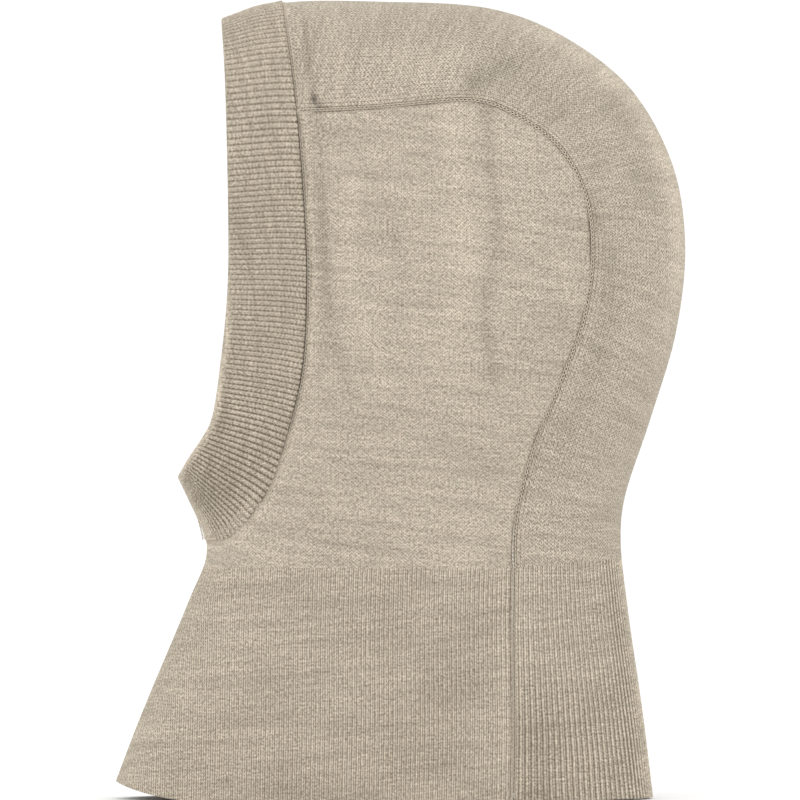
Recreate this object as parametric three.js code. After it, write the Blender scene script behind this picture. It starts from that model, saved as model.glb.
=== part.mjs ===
import * as THREE from "three";

// A child's fine-knit wool balaclava, softly filled as it sits on a head.
// Millimetres, +Z up, the face towards -Y and the wearer's left towards +X.
// It is the same on both sides of the X = 0 plane, so the outlines and seams are
// drawn once, as (y, z) curves seen from the side, and halfWidth() gives how far
// the knit stands from that plane at each of their points.

// Overall sizes
const TOTAL_HEIGHT = 342; // hem to crown
const NECK_HEIGHT = 99; // hem to the change from rib to jersey
const HEAD_DEPTH = 196; // edge of the face opening to the back of the head
const NECK_DEPTH = 178; // throat to nape
const HEM_LENGTH = 231; // front to back along the hem
const HEAD_HALF_WIDTH = 60;
const FACE_HALF_WIDTH = 53;
const NECK_HALF_WIDTH = 49;
const HEM_HALF_WIDTH = 63;

// Panels and band
const BAND_WIDTH = 32.5; // face band at the temple
const BAND_WIDTH_BROW = 27;
const BAND_WIDTH_CHIN = 30;
const CHIN_HEIGHT = 138.5; // lowest point of the face opening
const CHIN_REACH = 22; // how far the chin edge stands in front of the temple edge
const CROWN_HALF_BROW = 48; // half the crown strip, at the brow
const CROWN_HALF_HEAD = 40.5;
const CROWN_HALF_NAPE = 46.5;
const CROWN_HALF_HEM = 60.5;
const NAPE_RISE = 4; // the rib stands this much higher at the nape than at the sides
const HEM_LIFT = 7; // the front corner of the hem rises this much
const HEM_LIFT_LENGTH = 34;

// How far the knit takes to turn from its edge-on outline to full width
const BROW_ROLL = 60;
const CROWN_ROLL = 88;
const CHIN_ROLL = 45;
const BIB_ROLL = 68;

// Knit thicknesses, threads and clearances
const JERSEY_THICK = 1.6;
const RIB_THICK = 2.2;
const PLY_THICK = 1.4; // one ply of the doubled face band
const TUCK = 4; // how deep the hood's edge sits between the band's two plies
const SEAM_THREAD = 1.5; // thickness of a linked seam
const CHAIN_THREAD = 1.3; // thickness of the linking chain along the band
const LABEL_THICK = 0.8;
const LABEL_WIDTH = 14;
const LABEL_LENGTH = 26;
const GAP = 0.3; // clearance between neighbouring pieces
const SLOT_GAP = 0.6; // clearance of the hood's edge in the band's slot

const { lerp, smoothstep, clamp } = THREE.MathUtils;
const HEAD_HEIGHT = TOTAL_HEIGHT - NECK_HEIGHT;
const FACE_Y = -0.418 * HEAD_DEPTH;
const THROAT_Y = -0.515 * NECK_DEPTH;
const NAPE_Y = THROAT_Y + NECK_DEPTH;
const HEM_FRONT_Y = -0.566 * HEM_LENGTH;
const HEM_BACK_Y = HEM_FRONT_Y + HEM_LENGTH;
const CHIN_Y = FACE_Y - CHIN_REACH;
const SEAM_HALF_GAP = SEAM_THREAD / 2 + GAP;

// ---------------------------------------------------------------- outlines

function sidePoint(y, z) {
  return new THREE.Vector3(0, y, z);
}

function headPoint(depthShare, heightShare) {
  return sidePoint(FACE_Y + depthShare * HEAD_DEPTH, NECK_HEIGHT + heightShare * HEAD_HEIGHT);
}

function smoothCurve(points) {
  const curve = new THREE.CatmullRomCurve3(points, false, "centripetal");
  curve.arcLengthDivisions = 800;
  return curve;
}

// Brow, over the crown, down the back of the head and the nape to the hem
const backOutline = smoothCurve([
  headPoint(-0.018, 0.968),
  headPoint(0.113, 0.997),
  headPoint(0.33, 1),
  headPoint(0.58, 0.9865),
  headPoint(0.73, 0.94),
  headPoint(0.879, 0.847),
  headPoint(0.972, 0.712),
  headPoint(1, 0.57),
  headPoint(0.98, 0.416),
  headPoint(0.923, 0.26),
  sidePoint(NAPE_Y + 1.5, NECK_HEIGHT + 0.118 * HEAD_HEIGHT),
  sidePoint(NAPE_Y, NECK_HEIGHT + 0.05 * HEAD_HEIGHT),
  sidePoint(lerp(NAPE_Y, HEM_BACK_Y, 0.2), 0.84 * NECK_HEIGHT),
  sidePoint(lerp(NAPE_Y, HEM_BACK_Y, 0.72), 0.33 * NECK_HEIGHT),
  sidePoint(HEM_BACK_Y, 0),
]);

// Chin, in to the throat, then out along the bib to the front corner of the hem
const frontOutline = smoothCurve([
  sidePoint(CHIN_Y, CHIN_HEIGHT),
  sidePoint(lerp(THROAT_Y, CHIN_Y, 0.2), lerp(NECK_HEIGHT, CHIN_HEIGHT, 0.5)),
  sidePoint(THROAT_Y, NECK_HEIGHT + 6),
  sidePoint(lerp(THROAT_Y, HEM_FRONT_Y, 0.2), 0.85 * NECK_HEIGHT),
  sidePoint(lerp(THROAT_Y, HEM_FRONT_Y, 0.75), 0.33 * NECK_HEIGHT),
  sidePoint(HEM_FRONT_Y, HEM_LIFT),
]);

const backLength = backOutline.getLength();
const frontLength = frontOutline.getLength();

function alongBack(length) {
  return backOutline.getPointAt(clamp(length / backLength, 0, 1));
}

function alongFront(length) {
  return frontOutline.getPointAt(clamp(length / frontLength, 0, 1));
}

// The length at which an outline comes down to a height, sought between two lengths
function lengthAtHeight(along, from, to, height) {
  let low = from;
  let high = to;
  while (high - low > 0.001) {
    const middle = (low + high) / 2;
    if (along(middle).z > height) {
      low = middle;
    } else {
      high = middle;
    }
  }
  return low;
}

function napeLength(lift) {
  return lengthAtHeight(alongBack, backLength / 2, backLength, NECK_HEIGHT + NAPE_RISE + lift);
}

function throatLength(lift) {
  return lengthAtHeight(alongFront, 0, frontLength, NECK_HEIGHT + lift);
}

const napeAt = napeLength(0);

// ---------------------------------------------------------------- filled shape

// An outline as many short steps, run on a little past both ends
function steps(outline, count) {
  const points = outline.getSpacedPoints(count);
  const before = points[0].clone().addScaledVector(outline.getTangentAt(0), -2);
  const after = points.at(-1).clone().addScaledVector(outline.getTangentAt(1), 2);
  return [before, ...points, after];
}

const backSamples = steps(backOutline, 700);
const frontSamples = steps(frontOutline, 300);

// How far a point is inside an outline, negative outside it; inside says which side
// of the outline the knit is on, 1 for its left and -1 for its right
function depthInside(samples, inside, y, z) {
  let best = Infinity;
  let sign = 1;
  for (let i = 1; i < samples.length; i += 1) {
    const from = samples[i - 1];
    const dy = samples[i].y - from.y;
    const dz = samples[i].z - from.z;
    const share = ((y - from.y) * dy + (z - from.z) * dz) / (dy * dy + dz * dz);
    const held = clamp(share, 0, 1);
    const away = Math.hypot(y - from.y - held * dy, z - from.z - held * dz);
    if (away < best) {
      best = away;
      const past = (i === 1 && share < 0) || (i === samples.length - 1 && share > 1);
      sign = past ? 1 : Math.sign(inside * (dy * (z - from.z) - dz * (y - from.y)));
    }
  }
  return sign * best;
}

// The square of a quarter circle: 0 at the outline, 1 and level from the roll distance on
function roundedSquare(share) {
  return 1 - (1 - Math.min(share, 1)) ** 2;
}

// The square of the distance from the middle plane to the filled shape
function squareWidth(y, z) {
  const brow = smoothstep(y, FACE_Y, FACE_Y + 0.5 * HEAD_DEPTH);
  const backRoll = lerp(BROW_ROLL, CROWN_ROLL, brow);
  const frontRoll = lerp(BIB_ROLL, CHIN_ROLL, smoothstep(z, 0, CHIN_HEIGHT));
  const neckShare = smoothstep(z, -0.6 * NECK_HEIGHT, NECK_HEIGHT);
  const headShare = smoothstep(z, 0.9 * NECK_HEIGHT, NECK_HEIGHT + 0.5 * HEAD_HEIGHT);
  const headWidth = lerp(FACE_HALF_WIDTH, HEAD_HALF_WIDTH, brow);
  const full = lerp(lerp(HEM_HALF_WIDTH, NECK_HALF_WIDTH, neckShare), headWidth, headShare);
  const fromBack = roundedSquare(depthInside(backSamples, -1, y, z) / backRoll);
  const fromFront = roundedSquare(depthInside(frontSamples, 1, y, z) / frontRoll);
  return full ** 2 * fromBack * fromFront;
}

function halfWidth(y, z) {
  return Math.sqrt(Math.max(squareWidth(y, z), 0));
}

// The filled shape's outward normal at a point on it
function outwardAt(point) {
  const step = 0.3;
  const { x, y, z } = point;
  const slopeY = (squareWidth(y + step, z) - squareWidth(y - step, z)) / (2 * step);
  const slopeZ = (squareWidth(y, z + step) - squareWidth(y, z - step)) / (2 * step);
  return new THREE.Vector3(2 * x, -slopeY, -slopeZ).normalize();
}

// ---------------------------------------------------------------- seam lines

function crownHalf(length) {
  const overHead = lerp(CROWN_HALF_BROW, CROWN_HALF_HEAD, smoothstep(length, 40, 0.34 * napeAt));
  const toNape = lerp(overHead, CROWN_HALF_NAPE, smoothstep(length, 0.75 * napeAt, napeAt));
  const downNeck = clamp((length - napeAt) / (backLength - napeAt), 0, 1);
  return lerp(toNape, CROWN_HALF_HEM, downNeck);
}

// Which way the crown strip's half width is measured: square to the outline on the
// head, and along the courses, nearly level, on the neck
function inward(length) {
  const tangent = backOutline.getTangentAt(clamp(length / backLength, 0, 1));
  const square = sidePoint(tangent.z, -tangent.y);
  const here = alongBack(length).z;
  const drop = (here * NAPE_RISE) / (NECK_HEIGHT + NAPE_RISE);
  const course = sidePoint(-crownHalf(length), -Math.min(drop, NAPE_RISE)).normalize();
  const share = smoothstep(length, napeAt - 70, napeAt);
  return square.lerp(course, share).normalize();
}

// The seam between the crown strip and a side panel; shift moves it towards the side panel
function crownSeam(length, shift) {
  return alongBack(length).addScaledVector(inward(length), crownHalf(length) + shift);
}

// Free edge of the face opening, from the brow to the chin
const freeEdge = smoothCurve([
  alongBack(0),
  sidePoint(FACE_Y - 1.6, NECK_HEIGHT + 0.87 * HEAD_HEIGHT),
  sidePoint(FACE_Y, NECK_HEIGHT + 0.64 * HEAD_HEIGHT),
  sidePoint(FACE_Y - 0.1, NECK_HEIGHT + 0.5 * HEAD_HEIGHT),
  sidePoint(lerp(FACE_Y, CHIN_Y, 0.12), NECK_HEIGHT + 0.38 * HEAD_HEIGHT),
  sidePoint(lerp(FACE_Y, CHIN_Y, 0.34), lerp(CHIN_HEIGHT, NECK_HEIGHT + 0.38 * HEAD_HEIGHT, 0.44)),
  sidePoint(lerp(FACE_Y, CHIN_Y, 0.55), lerp(CHIN_HEIGHT, NECK_HEIGHT + 0.38 * HEAD_HEIGHT, 0.28)),
  sidePoint(lerp(FACE_Y, CHIN_Y, 0.82), lerp(CHIN_HEIGHT, NECK_HEIGHT + 0.38 * HEAD_HEIGHT, 0.12)),
  alongFront(0),
]);

// Where the band is linked to the hood, from the brow to the throat
const bandSeam = smoothCurve([
  alongBack(BAND_WIDTH_BROW),
  sidePoint(FACE_Y + 0.88 * BAND_WIDTH, NECK_HEIGHT + 0.81 * HEAD_HEIGHT),
  sidePoint(FACE_Y + BAND_WIDTH, NECK_HEIGHT + 0.6 * HEAD_HEIGHT),
  sidePoint(FACE_Y + 1.02 * BAND_WIDTH, NECK_HEIGHT + 0.5 * HEAD_HEIGHT),
  sidePoint(FACE_Y + 0.96 * BAND_WIDTH, NECK_HEIGHT + 0.35 * HEAD_HEIGHT),
  sidePoint(CHIN_Y + 1.44 * BAND_WIDTH, CHIN_HEIGHT + 0.55 * BAND_WIDTH),
  sidePoint(CHIN_Y + 1.2 * BAND_WIDTH, CHIN_HEIGHT - 0.16 * BAND_WIDTH),
  sidePoint(CHIN_Y + 0.82 * BAND_WIDTH, CHIN_HEIGHT - 0.68 * BAND_WIDTH),
  sidePoint(CHIN_Y + 0.6 * BAND_WIDTH, CHIN_HEIGHT - 0.83 * BAND_WIDTH),
  alongFront(BAND_WIDTH_CHIN),
]);

// A point of the face band: along 0 at the brow to 1 at the chin, across 0 at the free
// edge to 1 at the seam and a little past it
function bandPoint(along, across) {
  const free = freeEdge.getPointAt(along);
  const seam = bandSeam.getPointAt(along);
  const between = free.clone().lerp(seam, across);
  const brow = alongBack(across * BAND_WIDTH_BROW);
  const chin = alongFront(across * BAND_WIDTH_CHIN);
  const browChord = alongBack(0).lerp(alongBack(BAND_WIDTH_BROW), across);
  const chinChord = alongFront(0).lerp(alongFront(BAND_WIDTH_CHIN), across);
  between.addScaledVector(brow.sub(browChord), 1 - along);
  return between.addScaledVector(chin.sub(chinChord), along);
}

// ---------------------------------------------------------------- meeting lines

const TUCKED = 1 - TUCK / BAND_WIDTH; // share of the band's width where the hood's edge ends

// Where the hood's tucked front edge meets the crown seam
function browCorner(shift) {
  let low = 0;
  let high = 0.5;
  while (high - low > 0.00001) {
    const middle = (low + high) / 2;
    const point = bandPoint(middle, TUCKED);
    if (depthInside(backSamples, -1, point.y, point.z) < CROWN_HALF_BROW + shift) {
      low = middle;
    } else {
      high = middle;
    }
  }
  const corner = bandPoint(low, TUCKED);
  let nearest = 0;
  let best = Infinity;
  for (let length = 0; length < backLength / 3; length += 0.1) {
    const away = alongBack(length).distanceTo(corner);
    if (away < best) {
      best = away;
      nearest = length;
    }
  }
  return { along: low, length: nearest };
}

// Columns crowd towards the middle plane, where the knit turns edge-on
function easeFromMiddle(share) {
  return 1 - Math.cos((share * Math.PI) / 2);
}

function shares(count, ease) {
  return Array.from({ length: count + 1 }, (_, i) => ease(i / count));
}

const TOP_STEPS = 14; // steps of a side panel along its top edge
const NECK_ROWS = 8;
const STRIP_COLUMNS = 9; // to each side of the middle plane
const BIB_COLUMNS = 13;
const BAND_STEPS = 72;

// Shares of the way round the face opening, from the chin to the brow, that the band and
// the hood's edge in its slot both have as corners; they crowd at both ends
const bandStations = shares(BAND_STEPS / 2, (share) => (1 + Math.cos(Math.PI * share)) / 2);

const browEnd = browCorner(0);
const shoulderAt = lerp(browEnd.length, napeAt, 0.42); // where a side panel's top turns into its back
const LEAST_STEP = 0.005; // band stations nearer the brow corner than this are left out

// A side panel's front edge: up the throat, then round the chin and up to the brow in the
// band's slot. throatShare is the share of its length that is throat.
const bandEnd = TUCKED * BAND_WIDTH_CHIN;
const throatSpan = throatLength(0) - bandEnd;
const throatShare = throatSpan / (throatSpan + bandSeam.getLength());

// Shares of a side panel's height at which it has rows, crowded towards the chin
const sideRows = [
  0,
  throatShare / 2,
  ...bandStations
    .filter((along) => along > browEnd.along + LEAST_STEP)
    .map((along) => lerp(throatShare, 1, (1 - along) / (1 - browEnd.along))),
  1,
];

// Columns of the crown strip, from the right seam through the middle plane to the left
const crownColumns = bandStations
  .filter((along) => along < browEnd.along - LEAST_STEP)
  .map((along) => (Math.acos(1 - along / browEnd.along) * 2) / Math.PI);
const crownSpan = [-1, ...crownColumns.map((u) => -u), ...crownColumns.slice(0, -1).reverse(), 1];

// Lengths along the back outline at which the crown strip and the side panels have rows
const topShares = shares(TOP_STEPS, easeFromMiddle);
const topLengths = topShares.map((share) => lerp(browEnd.length, shoulderAt, share));
const backLengths = sideRows.map((share) => lerp(napeAt, shoulderAt, share));
const hoodLengths = [...topLengths, ...backLengths.slice(0, -1).reverse()];
const neckLengths = shares(NECK_ROWS, (share) => lerp(napeAt, backLength, share));

// ---------------------------------------------------------------- surfaces

// Fills a four-sided region of the side view between its edge curves
function between(front, back, bottom, top) {
  return (u, v) => {
    const across = front(v).lerp(back(v), u);
    const up = bottom(u).lerp(top(u), v);
    const low = bottom(0).lerp(bottom(1), u);
    const high = top(0).lerp(top(1), u);
    return across.add(up).sub(low.lerp(high, v));
  };
}

function straight(from, to) {
  return (share) => from.clone().lerp(to, share);
}

// Puts a side-view point on the filled shape; side is 1 on the wearer's left, -1 on the right
function onShape(point, side) {
  return new THREE.Vector3(side * halfWidth(point.y, point.z), point.y, point.z);
}

// A region on both sides of the middle plane: u runs from -1 to 1
function spanning(region) {
  return (u, v) => onShape(region(easeFromMiddle(Math.abs(u)), v), Math.sign(u));
}

// A region on one side only: u runs from 0 to 1
function oneSided(region, side) {
  return (u, v) => onShape(region(easeFromMiddle(u), v), side);
}

// ---------------------------------------------------------------- solids

function signedVolume(points, triangles) {
  let sum = 0;
  for (let i = 0; i < triangles.length; i += 3) {
    const [a, b, c] = triangles.slice(i, i + 3).map((k) => points[k]);
    sum += a.dot(b.clone().cross(c)) / 6;
  }
  return sum;
}

// A closed body from its corners and triangles, turned so that its faces point out
function closedGeometry(points, triangles) {
  const outward = signedVolume(points, triangles) > 0;
  const geometry = new THREE.BufferGeometry();
  geometry.setFromPoints(points);
  geometry.setIndex(outward ? triangles : triangles.toReversed());
  return geometry;
}

function quad(triangles, a, b, c, d) {
  triangles.push(a, b, c, a, c, d);
}

// A body swept through rings of corners: each ring is one section of it
function sweptGeometry(rings) {
  const size = rings[0].length;
  const triangles = [];
  for (let j = 1; j < rings.length; j += 1) {
    for (let i = 0; i < size; i += 1) {
      const next = (i + 1) % size;
      quad(triangles, (j - 1) * size + i, (j - 1) * size + next, j * size + next, j * size + i);
    }
  }
  const last = (rings.length - 1) * size;
  const flat = sectionCorners(rings[0]);
  THREE.ShapeUtils.triangulateShape(flat, []).forEach(([a, b, c]) => {
    triangles.push(c, b, a);
    triangles.push(last + a, last + b, last + c);
  });
  return closedGeometry(rings.flat(), triangles);
}

// A ring's corners in the plane that it lies in
function sectionCorners(ring) {
  const centre = ring.reduce((sum, point) => sum.add(point), new THREE.Vector3());
  centre.divideScalar(ring.length);
  const first = ring[0].clone().sub(centre).normalize();
  let normal = new THREE.Vector3();
  ring.forEach((point, i) => {
    const next = ring[(i + 1) % ring.length];
    normal.add(point.clone().sub(centre).cross(next.clone().sub(centre)));
  });
  normal = normal.normalize();
  const second = normal.clone().cross(first);
  return ring.map((point) => {
    const away = point.clone().sub(centre);
    return new THREE.Vector2(away.dot(first), away.dot(second));
  });
}

// A knit panel: the layer between two heights over a surface, closed round its rim.
// side keeps a one-sided panel off the middle plane; levelHem keeps the hem's rim level.
function panelGeometry({ surface, columns, rows, heights, side = 0, levelHem = false }) {
  const points = [];
  heights.forEach((height) => {
    rows.forEach((v) => {
      columns.forEach((u) => {
        const point = surface(u, v);
        const normal = outwardAt(point);
        if (levelHem && v === 0) {
          normal.setZ(0).normalize();
        }
        point.addScaledVector(normal, height);
        if (side !== 0) {
          point.setX(side * Math.max(side * point.x, GAP / 2));
        }
        points.push(point);
      });
    });
  });
  const wide = columns.length;
  const tall = rows.length;
  const at = (i, j, layer) => (layer * tall + j) * wide + i;
  const triangles = [];
  for (let j = 1; j < tall; j += 1) {
    for (let i = 1; i < wide; i += 1) {
      quad(triangles, at(i - 1, j - 1, 0), at(i, j - 1, 0), at(i, j, 0), at(i - 1, j, 0));
      quad(triangles, at(i - 1, j - 1, 1), at(i - 1, j, 1), at(i, j, 1), at(i, j - 1, 1));
    }
  }
  for (let i = 1; i < wide; i += 1) {
    quad(triangles, at(i - 1, 0, 0), at(i - 1, 0, 1), at(i, 0, 1), at(i, 0, 0));
    quad(triangles, at(i - 1, tall - 1, 0), at(i, tall - 1, 0), at(i, tall - 1, 1), at(i - 1, tall - 1, 1));
  }
  for (let j = 1; j < tall; j += 1) {
    quad(triangles, at(0, j - 1, 0), at(0, j, 0), at(0, j, 1), at(0, j - 1, 1));
    quad(triangles, at(wide - 1, j - 1, 0), at(wide - 1, j - 1, 1), at(wide - 1, j, 1), at(wide - 1, j, 0));
  }
  return closedGeometry(points, triangles);
}

// Both sides' columns, from the right seam through the middle plane to the left seam
function spanColumns(count) {
  return Array.from({ length: 2 * count + 1 }, (_, i) => i / count - 1);
}

// ---------------------------------------------------------------- pieces

function crownStripGeometry() {
  const shift = -SEAM_HALF_GAP;
  const corner = browCorner(shift);
  const start = TUCKED * BAND_WIDTH_BROW;
  const end = napeLength(GAP / 2);
  const outlineAt = (v) => alongBack(lerp(start, end, v));
  const seamAt = (v) => crownSeam(lerp(corner.length, end, v), shift);
  const browEdge = (u) => bandPoint(corner.along * u, TUCKED);
  const region = between(outlineAt, seamAt, browEdge, straight(outlineAt(1), seamAt(1)));
  const rows = hoodLengths.map((length) => (length - browEnd.length) / (napeAt - browEnd.length));
  return panelGeometry({
    surface: spanning(region),
    columns: crownSpan,
    rows,
    heights: [0, -JERSEY_THICK],
  });
}

function sidePanelGeometry(side) {
  const shift = SEAM_HALF_GAP;
  const corner = browCorner(shift);
  const low = napeLength(GAP / 2);
  const throat = throatLength(GAP / 2);
  const frontEdge = (v) => {
    if (v < throatShare) {
      return alongFront(lerp(throat, bandEnd, v / throatShare));
    }
    return bandPoint(lerp(1, corner.along, (v - throatShare) / (1 - throatShare)), TUCKED);
  };
  const backEdge = (v) => crownSeam(lerp(low, shoulderAt, v), shift);
  const topEdge = (u) => crownSeam(lerp(corner.length, shoulderAt, u), shift);
  const region = between(frontEdge, backEdge, straight(frontEdge(0), backEdge(0)), topEdge);
  return panelGeometry({
    surface: oneSided(region, side),
    columns: shares(TOP_STEPS, (share) => share),
    rows: sideRows,
    heights: [0, -JERSEY_THICK],
    side,
  });
}

function neckFrontGeometry() {
  const shift = SEAM_HALF_GAP;
  const top = napeLength(-GAP / 2);
  const throat = throatLength(-GAP / 2);
  const frontEdge = (v) => alongFront(lerp(frontLength, throat, v));
  const seamAt = (v) => crownSeam(lerp(backLength, top, v), shift);
  const hem = (u) => {
    const y = lerp(HEM_FRONT_Y, seamAt(0).y, u);
    const rise = Math.max(0, 1 - (y - HEM_FRONT_Y) / HEM_LIFT_LENGTH);
    return sidePoint(y, HEM_LIFT * rise ** 2);
  };
  const region = between(frontEdge, seamAt, hem, straight(frontEdge(1), seamAt(1)));
  return panelGeometry({
    surface: spanning(region),
    columns: spanColumns(BIB_COLUMNS),
    rows: shares(NECK_ROWS, (share) => share),
    heights: [0, -RIB_THICK],
    levelHem: true,
  });
}

function neckBackRegion() {
  const shift = -SEAM_HALF_GAP;
  const top = napeLength(-GAP / 2);
  const outlineAt = (v) => alongBack(lerp(backLength, top, v));
  const seamAt = (v) => crownSeam(lerp(backLength, top, v), shift);
  return between(outlineAt, seamAt, straight(outlineAt(0), seamAt(0)), straight(outlineAt(1), seamAt(1)));
}

function neckBackGeometry() {
  return panelGeometry({
    surface: spanning(neckBackRegion()),
    columns: spanColumns(STRIP_COLUMNS),
    rows: shares(NECK_ROWS, (share) => share),
    heights: [0, -RIB_THICK],
    levelHem: true,
  });
}

// A thread laid in the crown seam, between the edges of the crown strip and a side panel
function crownSeamGeometry(side) {
  const stations = [...hoodLengths, ...neckLengths.slice(1)];
  stations[stations.length - 1] -= SEAM_THREAD / 2;
  const path = stations.map((length) => {
    const point = onShape(crownSeam(length, 0), side);
    return point.addScaledVector(outwardAt(point), -JERSEY_THICK / 2);
  });
  const sides = 6;
  const rings = path.map((point, i) => {
    const along = path[Math.min(i + 1, path.length - 1)].clone().sub(path[Math.max(i - 1, 0)]);
    along.normalize();
    const across = along.clone().cross(new THREE.Vector3(side, 0, 0)).normalize();
    const up = across.clone().cross(along);
    return Array.from({ length: sides }, (_, k) => {
      const turn = (2 * Math.PI * k) / sides;
      const corner = point.clone().addScaledVector(across, (Math.cos(turn) * SEAM_THREAD) / 2);
      return corner.addScaledVector(up, (Math.sin(turn) * SEAM_THREAD) / 2);
    });
  });
  return sweptGeometry(rings);
}

// Round the face opening: turn is 0 at the chin, 1 at the brow and 2 at the chin again
function bandSurface(turn, across) {
  const along = (1 + Math.cos(Math.PI * turn)) / 2;
  return onShape(bandPoint(along, across), Math.sign(Math.sin(Math.PI * turn)));
}

// Sweeps a section, a list of [share of the band's width, height], round the face opening.
// chinGap is how far each end stays from the middle plane at the chin.
function bandSweepGeometry(section, chinGap) {
  const rings = Array.from({ length: BAND_STEPS + 1 }, (_, k) => {
    const turn = (2 * k) / BAND_STEPS;
    return section.map(([across, height]) => {
      const point = bandSurface(turn, across);
      point.addScaledVector(outwardAt(point), height);
      if (k < 3) {
        point.setX(Math.max(point.x, chinGap));
      }
      if (k > BAND_STEPS - 3) {
        point.setX(Math.min(point.x, -chinGap));
      }
      return point;
    });
  });
  return sweptGeometry(rings);
}

// The doubled face band: two plies joined at the free edge, with a slot at the seam
// that takes the hood's edge
function faceBandGeometry() {
  const plyEnd = SLOT_GAP + PLY_THICK;
  const inside = -JERSEY_THICK - SLOT_GAP;
  const slotEnd = TUCKED - (2 * SLOT_GAP) / BAND_WIDTH;
  const slotMiddle = lerp(slotEnd, 1, 0.5);
  const middle = -JERSEY_THICK / 2;
  const section = [
    [0, middle + 0.5 * PLY_THICK],
    [0.03, middle + PLY_THICK],
    [0.5, lerp(middle + PLY_THICK, plyEnd, 0.5)],
    [1, plyEnd],
    [1, SLOT_GAP],
    [slotMiddle, SLOT_GAP],
    [slotEnd, SLOT_GAP],
    [slotEnd, inside],
    [slotMiddle, inside],
    [1, inside],
    [1, inside - PLY_THICK],
    [0.5, lerp(middle - PLY_THICK, inside - PLY_THICK, 0.5)],
    [0.03, middle - PLY_THICK],
    [0, middle - 0.5 * PLY_THICK],
  ];
  return bandSweepGeometry(section, SEAM_HALF_GAP);
}

// The chain of loops that links the band's outer ply to the hood
function bandChainGeometry() {
  const radius = CHAIN_THREAD / 2;
  const centre = 1 + (GAP + radius) / BAND_WIDTH;
  const sides = 5;
  const section = Array.from({ length: sides }, (_, k) => {
    const turn = (2 * Math.PI * k) / sides;
    const height = SLOT_GAP + radius + Math.sin(turn) * radius;
    return [centre + (Math.cos(turn) * radius) / BAND_WIDTH, height];
  });
  return bandSweepGeometry(section, GAP / 2);
}

// The short seam that closes the band into a ring, under the chin
function bandJoinGeometry() {
  const sides = 6;
  const steps = 5;
  const radius = SEAM_THREAD / 2;
  const rings = Array.from({ length: steps + 1 }, (_, j) => {
    const across = lerp(0.05, TUCKED - (3 * SLOT_GAP) / BAND_WIDTH, j / steps);
    const centre = bandSurface(0, across);
    const normal = outwardAt(centre);
    centre.addScaledVector(normal, -JERSEY_THICK / 2);
    return Array.from({ length: sides }, (_, k) => {
      const turn = (2 * Math.PI * k) / sides;
      const corner = centre.clone().addScaledVector(normal, Math.sin(turn) * radius);
      return corner.setX(Math.cos(turn) * radius);
    });
  });
  return sweptGeometry(rings);
}

// A blank care label, folded flat against the inside of the neck beside the left seam
function careLabelGeometry() {
  const region = neckBackRegion();
  const surface = (u, v) => onShape(region(u, v), 1);
  const wide = LABEL_WIDTH / (1.2 * CROWN_HALF_NAPE); // the rounded panel is a fifth wider there
  const tall = LABEL_LENGTH / NECK_HEIGHT;
  const columns = shares(4, (share) => 0.9 - wide + wide * share);
  const rows = shares(4, (share) => 0.5 + tall * share);
  const outer = -RIB_THICK - GAP;
  return panelGeometry({ surface, columns, rows, heights: [outer, outer - LABEL_THICK] });
}

// ---------------------------------------------------------------- finishes

function knit(color, roughness) {
  return new THREE.MeshStandardMaterial({ color, roughness, metalness: 0 });
}

const jerseyKnit = knit(0xbdb2a1, 0.9);
const ribKnit = knit(0xb3a794, 0.92);
const linkingThread = knit(0xcbc1ae, 0.85);
const labelSatin = knit(0xf1efe8, 0.55);

// ---------------------------------------------------------------- assembly

function piece(name, geometry, material) {
  const mesh = new THREE.Mesh(geometry, material.clone());
  mesh.name = name;
  return mesh;
}

const balaclava = new THREE.Group();
balaclava.add(
  piece("crown_strip", crownStripGeometry(), jerseyKnit),
  piece("side_panel_left", sidePanelGeometry(1), jerseyKnit),
  piece("side_panel_right", sidePanelGeometry(-1), jerseyKnit),
  piece("neck_rib_front", neckFrontGeometry(), ribKnit),
  piece("neck_rib_back", neckBackGeometry(), ribKnit),
  piece("face_band", faceBandGeometry(), ribKnit),
  piece("face_band_chain", bandChainGeometry(), linkingThread),
  piece("face_band_join", bandJoinGeometry(), linkingThread),
  piece("crown_seam_left", crownSeamGeometry(1), linkingThread),
  piece("crown_seam_right", crownSeamGeometry(-1), linkingThread),
  piece("care_label", careLabelGeometry(), labelSatin),
);

// The origin is inside the crown, where the top of the head comes
const crownY = FACE_Y + 0.4 * HEAD_DEPTH;
const crownTop = backSamples.reduce((best, point) => (
  Math.abs(point.y - crownY) < Math.abs(best.y - crownY) ? point : best
));
balaclava.position.set(0, -crownTop.y, JERSEY_THICK - crownTop.z);

export default balaclava;
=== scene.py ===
"""A child's fine-knit wool balaclava, standing softly filled on its hem.

Each knitted panel, the doubled face band, the linked seams and the care label is a
class that holds its sizes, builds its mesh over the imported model's shape and dresses
it. Lengths are in millimetres with the hem at height 0 until a mesh is made.
"""

from __future__ import annotations

import logging
import math
from dataclasses import dataclass, field
from enum import Enum
from typing import Callable

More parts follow.
